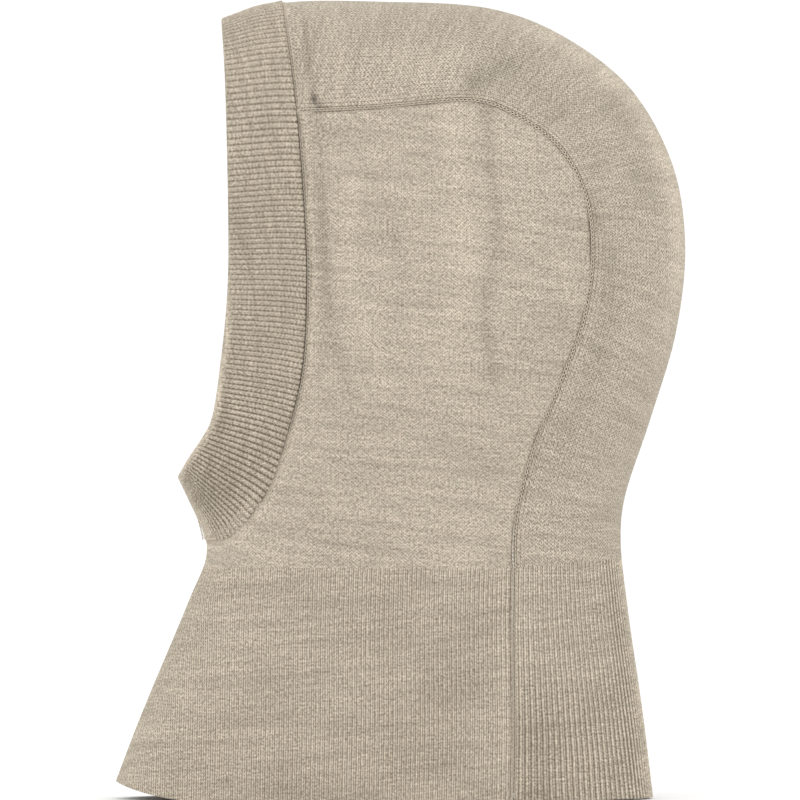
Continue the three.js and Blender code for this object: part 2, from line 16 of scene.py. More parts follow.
import bmesh
import bpy
import numpy as np
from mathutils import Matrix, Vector


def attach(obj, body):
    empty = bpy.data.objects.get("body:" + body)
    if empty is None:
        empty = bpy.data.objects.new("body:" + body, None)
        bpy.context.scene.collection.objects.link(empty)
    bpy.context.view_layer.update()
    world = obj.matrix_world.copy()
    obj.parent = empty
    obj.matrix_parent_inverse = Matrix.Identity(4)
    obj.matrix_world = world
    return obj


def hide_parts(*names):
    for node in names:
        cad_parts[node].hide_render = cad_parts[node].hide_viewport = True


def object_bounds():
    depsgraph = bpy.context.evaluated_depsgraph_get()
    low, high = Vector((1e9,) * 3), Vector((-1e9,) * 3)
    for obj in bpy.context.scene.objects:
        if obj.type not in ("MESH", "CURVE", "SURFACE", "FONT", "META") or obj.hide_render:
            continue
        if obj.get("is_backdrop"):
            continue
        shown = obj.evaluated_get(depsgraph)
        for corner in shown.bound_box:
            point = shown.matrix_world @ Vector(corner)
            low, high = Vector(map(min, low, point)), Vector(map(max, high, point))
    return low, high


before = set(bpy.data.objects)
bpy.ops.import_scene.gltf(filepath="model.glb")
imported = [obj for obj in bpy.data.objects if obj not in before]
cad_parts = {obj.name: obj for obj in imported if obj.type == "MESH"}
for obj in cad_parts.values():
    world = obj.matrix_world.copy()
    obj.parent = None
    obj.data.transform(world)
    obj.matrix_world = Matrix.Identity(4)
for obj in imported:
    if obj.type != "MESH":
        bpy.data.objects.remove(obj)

Array = np.ndarray
Curve = Callable[[Array], Array]
Colour = tuple[float, float, float]
Waves = tuple[float, float, float]

LOG = logging.getLogger("balaclava")
MM = 0.001
TURN = 2.0 * math.pi
TINY = 1e-12
SEED = 11
MIRROR = np.array([-1.0, 1.0, 1.0])
# Range of the painted shade attribute (below 0 painted shade, above 0 painted highlight) and the
# colour scale it maps to
SHADE_RANGE = (-1.0, 0.5)
SHADE_SCALE = (0.25, 1.375)
CREASE_ANGLE = 62.0
MERGE_REACH = 0.00001
SLIVER_REACH = 0.000004
LEVEL_OUT = 16.0
PALE_COURSE = 0.14
CLOSE_POINTS = 500
EDGE_POINTS = 400


class Side(Enum):
    """Which side of the wearer a piece is on, as the sign of x."""

    LEFT = 1
    RIGHT = -1


class ViewTransform(Enum):
    """How the rendered light becomes a picture."""

    STANDARD = "Standard"


def lerp(start: float | Array, end: float | Array, share: float | Array) -> float | Array:
    """The value a share of the way from start to end."""
    return start + (end - start) * share


def smoothstep(value: float | Array, low: float, high: float) -> float | Array:
    """0 up to low, 1 from high on, with a smooth rise between."""
    share = np.clip((value - low) / (high - low), 0.0, 1.0)
    return share * share * (3.0 - 2.0 * share)


def crowded(count: int, pull: float) -> Array:
    """Shares from 0 to 1 that crowd towards both ends.

    Args:
        count: how many steps.
        pull: 0 for even steps, up to just under 1 for the closest crowding.

    Returns:
        count + 1 rising shares.
    """
    even = np.linspace(0.0, 1.0, count + 1)
    return even - pull * np.sin(2.0 * np.pi * even) / (2.0 * np.pi)


def hump(value: float | Array, centre: float, width: float) -> float | Array:
    """1 at the centre, and close to 0 from two widths away."""
    return np.exp(-(((value - centre) / width) ** 2))


def unit(vectors: Array) -> Array:
    """The vectors at length 1."""
    return vectors / np.maximum(np.linalg.norm(vectors, axis=-1, keepdims=True), TINY)


def run_lengths(points: Array) -> Array:
    """Lengths along each line of points, from 0 at its start."""
    steps = np.linalg.norm(np.diff(points, axis=-2), axis=-1)
    return np.concatenate([np.zeros_like(steps[..., :1]), np.cumsum(steps, axis=-1)], axis=-1)


def resampled(points: Array, lengths: Array, stops: Array) -> Array:
    """The points of a line at given lengths along it."""
    return np.stack([np.interp(stops, lengths, points[:, k]) for k in range(3)], -1)


def grid_quads(index: Array, flip: bool = False) -> list[tuple[int, ...]]:
    """The quads of a grid of point numbers."""
    corners = [index[:-1, :-1], index[:-1, 1:], index[1:, 1:], index[1:, :-1]]
    if flip:
        corners.reverse()
    return list(zip(*(c.ravel().tolist() for c in corners)))


def ripple(points: Array, wavelength: Waves, seed: int) -> Array:
    """Smooth seeded unevenness between about -1 and 1.

    Args:
        points: positions, three numbers each.
        wavelength: the longest wave along each axis.
        seed: picks the waves.

    Returns:
        One number for each position.
    """
    chance = np.random.default_rng(seed)
    total = np.zeros(points.shape[:-1])
    for octave in range(12):
        turn = unit(chance.normal(size=3))
        shrink = 1.0 + 0.22 * octave
        phase = (points / np.asarray(wavelength)) @ turn * 2.0 * np.pi * shrink
        total += np.sin(phase + chance.uniform(0.0, 2.0 * np.pi)) / shrink**0.8
    return total / 3.2


class Outline:
    """A smooth line in the side view, measured along its length."""

    def __init__(self, points: list[tuple[float, float]], steps: int = 80) -> None:
        """Runs the line through (y, z) points.

        Args:
            points: what the line passes through.
            steps: short steps from one point to the next.
        """
        knots = np.array(points, float)
        knots = np.vstack([2 * knots[0] - knots[1], knots, 2 * knots[-1] - knots[-2]])
        share = np.linspace(0.0, 1.0, steps, endpoint=False)[:, None]
        spans = []
        for a, b, c, d in zip(knots, knots[1:], knots[2:], knots[3:]):
            ab, bc, cd = (math.sqrt(np.linalg.norm(q - p)) for p, q in ((a, b), (b, c), (c, d)))
            leave = ((b - a) / ab - (c - a) / (ab + bc) + (c - b) / bc) * bc
            reach = ((c - b) / bc - (d - b) / (bc + cd) + (d - c) / cd) * bc
            square = -3 * b + 3 * c - 2 * leave - reach
            cube = 2 * b - 2 * c + leave + reach
            spans.append(b + share * leave + share**2 * square + share**3 * cube)
        self.points = np.vstack([*spans, knots[-2:-1]])
        self.lengths = run_lengths(self.points)
        self.length = float(self.lengths[-1])

    def at(self, length: float | Array) -> Array:
        """The (y, z) point at a length along the line."""
        held = np.clip(length, 0.0, self.length)
        return np.stack([np.interp(held, self.lengths, self.points[:, k]) for k in (0, 1)], -1)

    def share(self, share: float | Array) -> Array:
        """The (y, z) point at a share of the line's length."""
        return self.at(np.asarray(share) * self.length)

    def tangent(self, length: float | Array) -> Array:
        """The line's direction at a length along it."""
        return unit(self.at(np.asarray(length) + 0.5) - self.at(np.asarray(length) - 0.5))

    def length_at_height(self, height: float, start: float, end: float) -> float:
        """The length between start and end at which the line comes down to a height."""
        while end - start > 0.001:
            middle = (start + end) / 2
            if self.at(middle)[1] > height:
                start = middle
            else:
                end = middle
        return start

    def depth(self, points: Array, inside: int) -> Array:
        """How far points are inside the line.

        Args:
            points: (n, 2) side-view points.
            inside: 1 if the knit is on the line's left, -1 if on its right.

        Returns:
            n distances, negative outside.
        """
        line = self.at(np.linspace(0.0, self.length, 520))
        before = line[0] + 2 * unit(line[0] - line[1])
        after = line[-1] + 2 * unit(line[-1] - line[-2])
        line = np.vstack([before, line, after])
        steps = np.diff(line, axis=0)
        best = np.full(len(points), np.inf)
        sign = np.ones(len(points))
        for chunk in np.array_split(np.arange(len(points)), max(1, len(points) // 6000)):
            here = points[chunk]
            near = ((here[:, None, :] - line[None]) ** 2).sum(-1).argmin(1)
            for pick in (np.clip(near - 1, 0, len(steps) - 1), np.clip(near, 0, len(steps) - 1)):
                away = here - line[pick]
                step = steps[pick]
                share = (away * step).sum(1) / (step**2).sum(1)
                gap = np.linalg.norm(away - np.clip(share, 0, 1)[:, None] * step, axis=1)
                turn = inside * (step[:, 0] * away[:, 1] - step[:, 1] * away[:, 0])
                past = ((pick == 0) & (share < 0)) | ((pick == len(steps) - 1) & (share > 1))
                closer = gap < best[chunk]
                best[chunk] = np.where(closer, gap, best[chunk])
                sign[chunk] = np.where(closer, np.where(past, 1.0, np.sign(turn)), sign[chunk])
        return best * sign


@dataclass
class Hood:
    """The filled shape that every panel lies on, and the lines that divide it."""

    total_height: float = 342.0
    neck_height: float = 99.0
    head_depth: float = 196.0
    neck_depth: float = 178.0
    hem_length: float = 231.0
    head_half: float = 60.0
    face_half: float = 53.0
    neck_half: float = 49.0
    hem_half: float = 63.0
    band_width: float = 32.5
    band_brow: float = 27.0
    band_chin: float = 30.0
    chin_height: float = 138.5
    chin_reach: float = 22.0
    crown_brow: float = 48.0
    crown_head: float = 40.5
    crown_nape: float = 46.5
    crown_hem: float = 60.5
    nape_rise: float = 4.0
    hem_lift: float = 7.0
    hem_lift_length: float = 34.0
    brow_roll: float = 60.0
    crown_roll: float = 88.0
    chin_roll: float = 45.0
    bib_roll: float = 68.0
    tuck: float = 4.0
    cell: float = 1.0
    lift: Array = field(init=False)

    def __post_init__(self) -> None:
        """Draws the outlines and the table of how far the knit stands from the middle plane."""
        low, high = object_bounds()
        self.face_y = -0.418 * self.head_depth
        self.throat_y = -0.515 * self.neck_depth
        self.nape_y = self.throat_y + self.neck_depth
        self.hem_front = -0.566 * self.hem_length
        self.hem_back = self.hem_front + self.hem_length
        self.chin_y = self.face_y - self.chin_reach
        self.head_height = self.total_height - self.neck_height
        self.lift = np.array([0.0, low[1] / MM - self.hem_front, low[2] / MM])
        self.back = Outline(self._back_points())
        self.front = Outline(self._front_points())
        self.free_edge = Outline(self._free_points())
        self.band_seam = Outline(self._seam_points())
        self.tucked = 1.0 - self.tuck / self.band_width
        self.nape_at = self.nape_length(0.0)
        self._tabulate()

    def _head(self, depth: float, height: float) -> tuple[float, float]:
        """A point at shares of the head's depth and height."""
        return (self.face_y + depth * self.head_depth, self.neck_height + height * self.head_height)

    def _back_points(self) -> list[tuple[float, float]]:
        """Brow, over the crown, down the nape to the hem."""
        shares = [(-0.018, 0.968), (0.113, 0.997), (0.33, 1), (0.58, 0.9865), (0.73, 0.94)]
        shares += [(0.879, 0.847), (0.972, 0.712), (1, 0.57), (0.98, 0.416), (0.923, 0.26)]
        points = [self._head(*pair) for pair in shares]
        points.append((self.nape_y + 1.5, self.neck_height + 0.118 * self.head_height))
        points.append((self.nape_y, self.neck_height + 0.05 * self.head_height))
        for share, height in ((0.2, 0.84), (0.72, 0.33), (1.0, 0.0)):
            points.append((lerp(self.nape_y, self.hem_back, share), height * self.neck_height))
        return points

    def _front_points(self) -> list[tuple[float, float]]:
        """Chin, in to the throat, out to the front corner of the hem."""
        throat, neck = self.throat_y, self.neck_height
        return [
            (self.chin_y, self.chin_height),
            (lerp(throat, self.chin_y, 0.2), lerp(neck, self.chin_height, 0.5)),
            (throat, neck + 6),
            (lerp(throat, self.hem_front, 0.2), 0.85 * neck),
            (lerp(throat, self.hem_front, 0.75), 0.33 * neck),
            (self.hem_front, self.hem_lift),
        ]

    def _free_points(self) -> list[tuple[float, float]]:
        """Free edge of the face opening, brow to chin."""
        jaw = self._head(0, 0.38)[1]
        points = [tuple(self.back.at(0.0))]
        points += [(self.face_y - 1.6, self._head(0, 0.87)[1]), self._head(0, 0.64)]
        points += [(self.face_y - 0.1, self._head(0, 0.5)[1])]
        for across, up in ((0.12, 1.0), (0.34, 0.44), (0.55, 0.28), (0.82, 0.12)):
            points.append((lerp(self.face_y, self.chin_y, across), lerp(self.chin_height, jaw, up)))
        return [*points, tuple(self.front.at(0.0))]

    def _seam_points(self) -> list[tuple[float, float]]:
        """Where the band is linked to the hood, brow to throat."""
        wide, chin = self.band_width, self.chin_height
        points = [tuple(self.back.at(self.band_brow))]
        for across, up in ((0.88, 0.81), (1.0, 0.6), (1.02, 0.5), (0.96, 0.35)):
            points.append((self.face_y + across * wide, self._head(0, up)[1]))
        for across, drop in ((1.44, -0.55), (1.2, 0.16), (0.82, 0.68), (0.6, 0.83)):
            points.append((self.chin_y + across * wide, chin - drop * wide))
        return [*points, tuple(self.front.at(self.band_chin))]

    def _tabulate(self) -> None:
        """Fills the table of squared half widths over the side view."""
        self.ys = np.arange(self.hem_front - 14, self.face_y + self.head_depth + 14, self.cell)
        self.zs = np.arange(-10.0, self.total_height + 10, self.cell)
        y, z = np.meshgrid(self.ys, self.zs)
        flat = np.stack([y.ravel(), z.ravel()], -1)
        brow = smoothstep(y, self.face_y, self.face_y + 0.5 * self.head_depth)
        back_roll = lerp(self.brow_roll, self.crown_roll, brow)
        front_roll = lerp(self.bib_roll, self.chin_roll, smoothstep(z, 0.0, self.chin_height))
        neck = smoothstep(z, -0.6 * self.neck_height, self.neck_height)
        head = smoothstep(z, 0.9 * self.neck_height, self.neck_height + 0.5 * self.head_height)
        low_half = lerp(self.hem_half, self.neck_half, neck)
        full = lerp(low_half, lerp(self.face_half, self.head_half, brow), head)
        self.back_depth = self.back.depth(flat, -1).reshape(y.shape)
        self.front_depth = self.front.depth(flat, 1).reshape(y.shape)
        self.square = full**2
        for depth, roll in ((self.back_depth, back_roll), (self.front_depth, front_roll)):
            self.square = self.square * (1 - (1 - np.minimum(depth / roll, 1)) ** 2)
        self.slope_z, self.slope_y = np.gradient(self.square, self.cell)

    def read(self, table: Array, points: Array) -> Array:
        """The table's value at side-view points, between its cells."""
        i = np.clip((points[..., 0] - self.ys[0]) / self.cell, 0, len(self.ys) - 1.001)
        j = np.clip((points[..., 1] - self.zs[0]) / self.cell, 0, len(self.zs) - 1.001)
        i0, j0 = i.astype(int), j.astype(int)
        fi, fj = i - i0, j - j0
        low = lerp(table[j0, i0], table[j0, i0 + 1], fi)
        return lerp(low, lerp(table[j0 + 1, i0], table[j0 + 1, i0 + 1], fi), fj)

    def on_shape(self, points: Array, side: float | Array) -> Array:
        """Side-view points put on the filled shape, on one side of the middle plane."""
        half = np.sqrt(np.maximum(self.read(self.square, points), 0.0))
        return np.stack([side * half, points[..., 0], points[..., 1]], -1)

    def outward(self, points: Array) -> Array:
        """The filled shape's outward normals at points on it."""
        flat = points[..., 1:]
        slope_y, slope_z = self.read(self.slope_y, flat), self.read(self.slope_z, flat)
        return unit(np.stack([2 * points[..., 0], -slope_y, -slope_z], -1))

    def outward_level_at_hem(self, points: Array) -> Array:
        """Outward normals of rows of points, level along the first row, the hem."""
        normals = self.outward(points)
        normals[0, :, 2] = 0.0
        normals[0] = unit(normals[0])
        return normals

    def nape_length(self, rise: float) -> float:
        """Length along the back at which rib meets jersey, and a little above it."""
        height = self.neck_height + self.nape_rise + rise
        return self.back.length_at_height(height, self.back.length / 2, self.back.length)

    def throat_length(self, rise: float) -> float:
        """Length along the front at which rib meets jersey, and a little above it."""
        return self.front.length_at_height(self.neck_height + rise, 0.0, self.front.length)

    def crown_half(self, length: Array) -> Array:
        """Half the crown strip's width along the back outline."""
        head = lerp(self.crown_brow, self.crown_head, smoothstep(length, 40.0, 0.34 * self.nape_at))
        nape = lerp(head, self.crown_nape, smoothstep(length, 0.75 * self.nape_at, self.nape_at))
        down = np.clip((length - self.nape_at) / (self.back.length - self.nape_at), 0, 1)
        return lerp(nape, self.crown_hem, down)

    def crown_seam(self, length: float | Array, shift: float) -> Array:
        """The seam between crown strip and side panel, moved by shift towards the side panel."""
        length = np.asarray(length, float)
        tangent = self.back.tangent(np.clip(length, 0.5, self.back.length - 0.5))
        square = np.stack([tangent[..., 1], -tangent[..., 0]], -1)
        here = self.back.at(length)
        half = self.crown_half(length)
        drop = here[..., 1] * self.nape_rise / (self.neck_height + self.nape_rise)
        course = unit(np.stack([-half, -np.minimum(drop, self.nape_rise)], -1))
        share = smoothstep(length, self.nape_at - 70, self.nape_at)[..., None]
        return here + unit(lerp(square, course, share)) * (half + shift)[..., None]

    def band_point(self, along: Array, across: Array, free_along: Array | None = None) -> Array:
        """A side-view point of the face band.

        Args:
            along: 0 at the brow to 1 at the chin, as a share of the seam.
            across: 0 at the free edge to 1 at the seam.
            free_along: the share of the free edge that goes with along.

        Returns:
            The (y, z) point.
        """
        along, across = np.broadcast_arrays(np.asarray(along, float), np.asarray(across, float))
        free = self.free_edge.share(along if free_along is None else free_along)
        flat = lerp(free, self.band_seam.share(along), across[..., None])
        brow = self.back.at(across * self.band_brow)
        brow -= lerp(self.back.at(0.0), self.back.at(self.band_brow), across[..., None])
        chin = self.front.at(across * self.band_chin)
        chin -= lerp(self.front.at(0.0), self.front.at(self.band_chin), across[..., None])
        return flat + brow * (1 - along)[..., None] + chin * along[..., None]

    def brow_corner(self, shift: float) -> tuple[float, float]:
        """Where the hood's tucked front edge meets the crown seam.

        Args:
            shift: moves the seam towards the side panel.

        Returns:
            The share along the band, and the length along the back outline.
        """
        low, high = 0.0, 0.5
        while high - low > 1e-5:
            middle = (low + high) / 2
            depth = self.back.depth(self.band_point(middle, self.tucked)[None], -1)[0]
            if depth < self.crown_brow + shift:
                low = middle
            else:
                high = middle
        corner = self.band_point(low, self.tucked)
        lengths = np.arange(0.0, self.back.length / 3, 0.1)
        nearest = np.linalg.norm(self.back.at(lengths) - corner, axis=-1).argmin()
        return low, float(lengths[nearest])

    def to_frame(self, points: Array) -> Array:
        """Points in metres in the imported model's frame."""
        return (points + self.lift) * MM


def coons(front: Curve, back: Curve, bottom: Curve, top: Curve, u: Array, v: Array) -> Array:
    """Fills a four-sided region of the side view between its edge curves.

    Args:
        front: the edge at u = 0, over v.
        back: the edge at u = 1, over v.
        bottom: the edge at v = 0, over u.
        top: the edge at v = 1, over u.
        u: shares from front to back.
        v: shares from bottom to top.

    Returns:
        A (y, z) point for each pair of shares.
    """
    u, v = np.broadcast_arrays(u, v)
    across = lerp(front(v), back(v), u[..., None])
    upward = lerp(bottom(u), top(u), v[..., None])
    ends = np.array([0.0, 1.0])
    low, high = bottom(ends), top(ends)
    low_row, high_row = (lerp(row[0], row[1], u[..., None]) for row in (low, high))
    return across + upward - lerp(low_row, high_row, v[..., None])


def straight(start: Array, end: Array) -> Curve:
    """A straight edge between two side-view points."""
    return lambda share: lerp(start, end, np.asarray(share)[..., None])


@dataclass
class Layer:
    """A grid of points with what the finish and the rib relief read from it."""

    points: Array
    outward: Array
    uv: Array
    relief: Array
    phase: Array
    ribbed: Array
    # painted shade (below 0) and painted highlight (above 0), which the finish turns into colour
    shade: Array

    @classmethod
    def plain(cls, points: Array, outward: Array, uv: Array) -> Layer:
        """A layer without ribs or shading yet."""
        blank = np.zeros(points.shape[:-1])
        return cls(points, outward, uv, blank.copy(), blank.copy(), blank.copy(), blank.copy())


class KnitMesh:
    """Makes closed knitted bodies from grids of points."""

    @staticmethod
    def _rim(outer: Array, inner: Array, every: int) -> list[tuple[int, ...]]:
        """The faces from a fine outer edge to a coarser inner one."""
        faces = []
        outer, inner = outer.tolist(), inner.tolist()
        for k in range(len(inner) - 1):
            fine = outer[k * every : (k + 1) * every + 1]
            faces.append((inner[k + 1], inner[k], *fine))
        return faces

    @classmethod
    def build(
        cls, name: str, hood: Hood, layer: Layer, thick: float, coarser: tuple[int, int]
    ) -> bpy.types.Object:
        """A closed body: a fine outer layer, a coarser inner one and the rim between.

        Args:
            name: the new object's name.
            hood: gives the frame.
            layer: rows x columns of outer points.
            thick: how far the inner layer is inside the outer one.
            coarser: the inner layer keeps each such row and column.

        Returns:
            The object, linked to the scene.
        """
        rows, columns = layer.phase.shape
        skip_v, skip_u = coarser
        inner_points = layer.points - layer.outward * thick
        pick = (slice(None, None, skip_v), slice(None, None, skip_u))
        small_rows, small_columns = layer.phase[pick].shape
        outer_index = np.arange(rows * columns).reshape(rows, columns)
        inner_index = np.arange(small_rows * small_columns).reshape(small_rows, small_columns)
        inner_index += rows * columns
        faces = grid_quads(outer_index) + grid_quads(inner_index, flip=True)
        faces += cls._rim(outer_index[0][::-1], inner_index[0][::-1], skip_u)
        faces += cls._rim(outer_index[-1], inner_index[-1], skip_u)
        faces += cls._rim(outer_index[:, 0], inner_index[:, 0], skip_v)
        faces += cls._rim(outer_index[:, -1][::-1], inner_index[:, -1][::-1], skip_v)
        parts = (layer.points + layer.outward * layer.relief[..., None], inner_points[pick])
        points = np.vstack([part.reshape(-1, 3) for part in parts])
        values = {
            "rib_phase": np.concatenate([layer.phase.ravel(), layer.phase[pick].ravel() + 0.5]),
            "rib_share": np.concatenate([layer.ribbed.ravel(), 0.5 * layer.ribbed[pick].ravel()]),
            "shade": np.concatenate([layer.shade.ravel(), layer.shade[pick].ravel()]),
        }
        outward = np.vstack([layer.outward.reshape(-1, 3), -layer.outward[pick].reshape(-1, 3)])
        uv = np.vstack([layer.uv.reshape(-1, 2), layer.uv[pick].reshape(-1, 2)])
        return cls.finish(name, hood.to_frame(points), faces, values, outward, uv)

    @staticmethod
    def finish(
        name: str,
        points: Array,
        faces: list[tuple[int, ...]],
        values: dict[str, Array],
        outward: Array,
        uv: Array,
    ) -> bpy.types.Object:
        """Writes points, faces and attributes to a new object, merged and facing out.

        Args:
            name: the new object's name.
            points: positions in metres.
            faces: corners of each face.
            values: numbers for each point, by attribute name.
            outward: a direction for each point.
            uv: stitch coordinates for each point.

        Returns:
            The object, linked to the scene.
        """
        mesh = bpy.data.meshes.new(name)
        mesh.from_pydata(points.tolist(), [], faces)
        for key, numbers in values.items():
            made = mesh.attributes.new(key, "FLOAT", "POINT")
            made.data.foreach_set("value", numbers.astype(np.float32))
        arrows = mesh.attributes.new("outward", "FLOAT_VECTOR", "POINT")
        arrows.data.foreach_set("vector", outward.astype(np.float32).ravel())
        corners = np.empty(len(mesh.loops), np.int32)
        mesh.loops.foreach_get("vertex_index", corners)
        layer = mesh.uv_layers.new(name="stitch")
        layer.data.foreach_set("uv", uv[corners].astype(np.float32).ravel())
        work = bmesh.new()
        work.from_mesh(mesh)
        bmesh.ops.remove_doubles(work, verts=work.verts, dist=MERGE_REACH)
        bmesh.ops.dissolve_degenerate(work, edges=work.edges, dist=SLIVER_REACH)
        bmesh.ops.recalc_face_normals(work, faces=work.faces)
        work.to_mesh(mesh)
        work.free()
        mesh.shade_smooth()
        mesh.set_sharp_from_angle(angle=math.radians(CREASE_ANGLE))
        obj = bpy.data.objects.new(name, mesh)
        bpy.context.scene.collection.objects.link(obj)
        return obj


# ------------------------------------------------------------------ node trees


class NodeTree:
    """A node tree that is put together node by node."""

    tree: bpy.types.NodeTree

    def add(self, kind: str, links: dict[int | str, object], **settings: object) -> bpy.types.Node:
        """Adds a node.

        Args:
            kind: the node's type.
            links: a value or another node's output for each input.
            settings: the node's own options.

        Returns:
            The node.
        """
        node = self.tree.nodes.new(kind)
        for key, value in settings.items():
            setattr(node, key, value)
        for key, value in links.items():
            if isinstance(value, bpy.types.NodeSocket):
                self.tree.links.new(value, node.inputs[key])
            else:
                node.inputs[key].default_value = value
        return node

    def math(self, operation: str, *values: object) -> bpy.types.NodeSocket:
        """A sum on numbers, as its output."""
        return self.add("ShaderNodeMath", dict(enumerate(values)), operation=operation).outputs[0]

    def cosine(self, turns: object) -> bpy.types.NodeSocket:
        """The cosine of a number of turns."""
        return self.math("COSINE", self.math("MULTIPLY", turns, TURN))

    def scaled(self, vector: object, scale: object) -> bpy.types.NodeSocket:
        """A vector or colour times a number."""
        links = {0: vector, "Scale": scale}
        return self.add("ShaderNodeVectorMath", links, operation="SCALE").outputs[0]


class GeometryTree(NodeTree):
    """A Geometry Nodes tree."""

    def __init__(self, name: str, inputs: list[tuple[str, str, float | None]]) -> None:
        """Starts a tree.

        Args:
            name: the tree's name.
            inputs: label, socket type and default of each input after the geometry.
        """
        self.tree = bpy.data.node_groups.new(name, "GeometryNodeTree")
        sockets = self.tree.interface
        sockets.new_socket("Geometry", in_out="INPUT", socket_type="NodeSocketGeometry")
        for label, kind, value in inputs:
            socket = sockets.new_socket(label, in_out="INPUT", socket_type=kind)
            if value is not None:
                socket.default_value = value
        sockets.new_socket("Geometry", in_out="OUTPUT", socket_type="NodeSocketGeometry")
        self.entry = self.tree.nodes.new("NodeGroupInput")
        self.exit = self.tree.nodes.new("NodeGroupOutput")

    def attribute(self, name: str, kind: str = "FLOAT") -> bpy.types.NodeSocket:
        """A named attribute's output."""
        node = self.add("GeometryNodeInputNamedAttribute", {"Name": name}, data_type=kind)
        return node.outputs[0]

    def close(self, geometry: bpy.types.NodeSocket) -> None:
        """Realizes the instances, sets the material and ends the tree."""
        real = self.add("GeometryNodeRealizeInstances", {0: geometry}).outputs[0]
        smooth = self.add("GeometryNodeSetShadeSmooth", {0: real}).outputs[0]
        dressing = {0: smooth, "Material": self.entry.outputs["Material"]}
        dressed = self.add("GeometryNodeSetMaterial", dressing)
        self.tree.links.new(dressed.outputs[0], self.exit.inputs[0])

    def apply(self, obj: bpy.types.Object, values: dict[str, object]) -> bpy.types.Object:
        """Runs the tree on an object and keeps the result as its plain mesh.

        Args:
            obj: what the tree works on.
            values: the tree's inputs by label.

        Returns:
            The same object.
        """
        modifier = obj.modifiers.new("nodes", "NODES")
        modifier.node_group = self.tree
        for item in self.tree.interface.items_tree:
            if item.in_out == "INPUT" and item.name in values:
                modifier[item.identifier] = values[item.name]
        graph = bpy.context.evaluated_depsgraph_get()
        made = bpy.data.meshes.new_from_object(obj.evaluated_get(graph))
        obj.modifiers.remove(modifier)
        before = obj.data
        obj.data = made
        bpy.data.meshes.remove(before)
        made.name = obj.name
        return obj


def rib_tree() -> GeometryTree:
    """Presses the grooves between ribs into a knitted surface."""
    inputs = [
        ("Groove Depth", "NodeSocketFloat", 0.0004),
        ("Groove Sharpness", "NodeSocketFloat", 2.0),
        ("Uneven", "NodeSocketFloat", 0.0001),
        ("Uneven Scale", "NodeSocketFloat", 700.0),
        ("Seed", "NodeSocketFloat", float(SEED)),
        ("Material", "NodeSocketMaterial", None),
    ]
    tree = GeometryTree("rib_relief", inputs)
    entry = tree.entry.outputs
    valley = tree.math("MULTIPLY_ADD", tree.cosine(tree.attribute("rib_phase")), -0.5, 0.5)
    groove = tree.math("POWER", valley, entry["Groove Sharpness"])
    most = tree.math("MULTIPLY", tree.attribute("rib_share"), entry["Groove Depth"])
    deep = tree.math("MULTIPLY", groove, most)
    noise_links = {"W": entry["Seed"], "Scale": entry["Uneven Scale"], "Detail": 2.0}
    noise = tree.add("ShaderNodeTexNoise", noise_links, noise_dimensions="4D").outputs[0]
    rough = tree.math("MULTIPLY", tree.math("SUBTRACT", noise, 0.5), entry["Uneven"])
    height = tree.math("SUBTRACT", rough, deep)
    offset = tree.scaled(tree.attribute("outward", "FLOAT_VECTOR"), height)
    moved = tree.add("GeometryNodeSetPosition", {"Geometry": entry["Geometry"], "Offset": offset})
    tree.close(moved.outputs[0])
    return tree


def loop_tree() -> GeometryTree:
    """Lays a chain of thread loops along a path."""
    inputs = [
        ("Loop Pitch", "NodeSocketFloat", 0.0013),
        ("Loop Length", "NodeSocketFloat", 0.002),
        ("Loop Width", "NodeSocketFloat", 0.0012),
        ("Thread Radius", "NodeSocketFloat", 0.0003),
        ("Lean", "NodeSocketFloat", 0.25),
        ("Material", "NodeSocketMaterial", None),
    ]
    tree = GeometryTree("loop_chain", inputs)
    entry = tree.entry.outputs
    path = tree.add("GeometryNodeMeshToCurve", {0: entry["Geometry"]}).outputs[0]
    spacing = {"Curve": path, "Length": entry["Loop Pitch"]}
    spaced = tree.add("GeometryNodeResampleCurve", spacing, mode="LENGTH")
    ring_size = {"Resolution": 10, "Radius": 0.5}
    ring = tree.add("GeometryNodeCurvePrimitiveCircle", ring_size).outputs[0]
    position = tree.add("GeometryNodeInputPosition", {}).outputs[0]
    place = tree.add("ShaderNodeSeparateXYZ", {0: position}).outputs
    taper = tree.math("MULTIPLY_ADD", place[0], -0.7, 1.0)
    across = tree.math("MULTIPLY", tree.math("MULTIPLY", place[1], taper), entry["Loop Width"])
    along = tree.math("MULTIPLY", place[0], entry["Loop Length"])
    raised = tree.math("MULTIPLY", along, entry["Lean"])
    spot = tree.add("ShaderNodeCombineXYZ", {0: along, 1: across, 2: raised}).outputs[0]
    shaped = tree.add("GeometryNodeSetPosition", {"Geometry": ring, "Position": spot}).outputs[0]
    thread_size = {"Resolution": 5, "Radius": entry["Thread Radius"]}
    section = tree.add("GeometryNodeCurvePrimitiveCircle", thread_size)
    loop = tree.add("GeometryNodeCurveToMesh", {0: shaped, 1: section.outputs[0]}).outputs[0]
    tangent = tree.add("GeometryNodeInputTangent", {}).outputs[0]
    arrow = tree.attribute("outward", "FLOAT_VECTOR")
    turned = tree.add(
        "FunctionNodeAxesToRotation", {0: tangent, 1: arrow}, primary_axis="X", secondary_axis="Z"
    )
    links = {"Points": spaced.outputs[0], "Instance": loop, "Rotation": turned.outputs[0]}
    chain = tree.add("GeometryNodeInstanceOnPoints", links).outputs[0]
    tree.close(chain)
    return tree


# ------------------------------------------------------------------ finishes


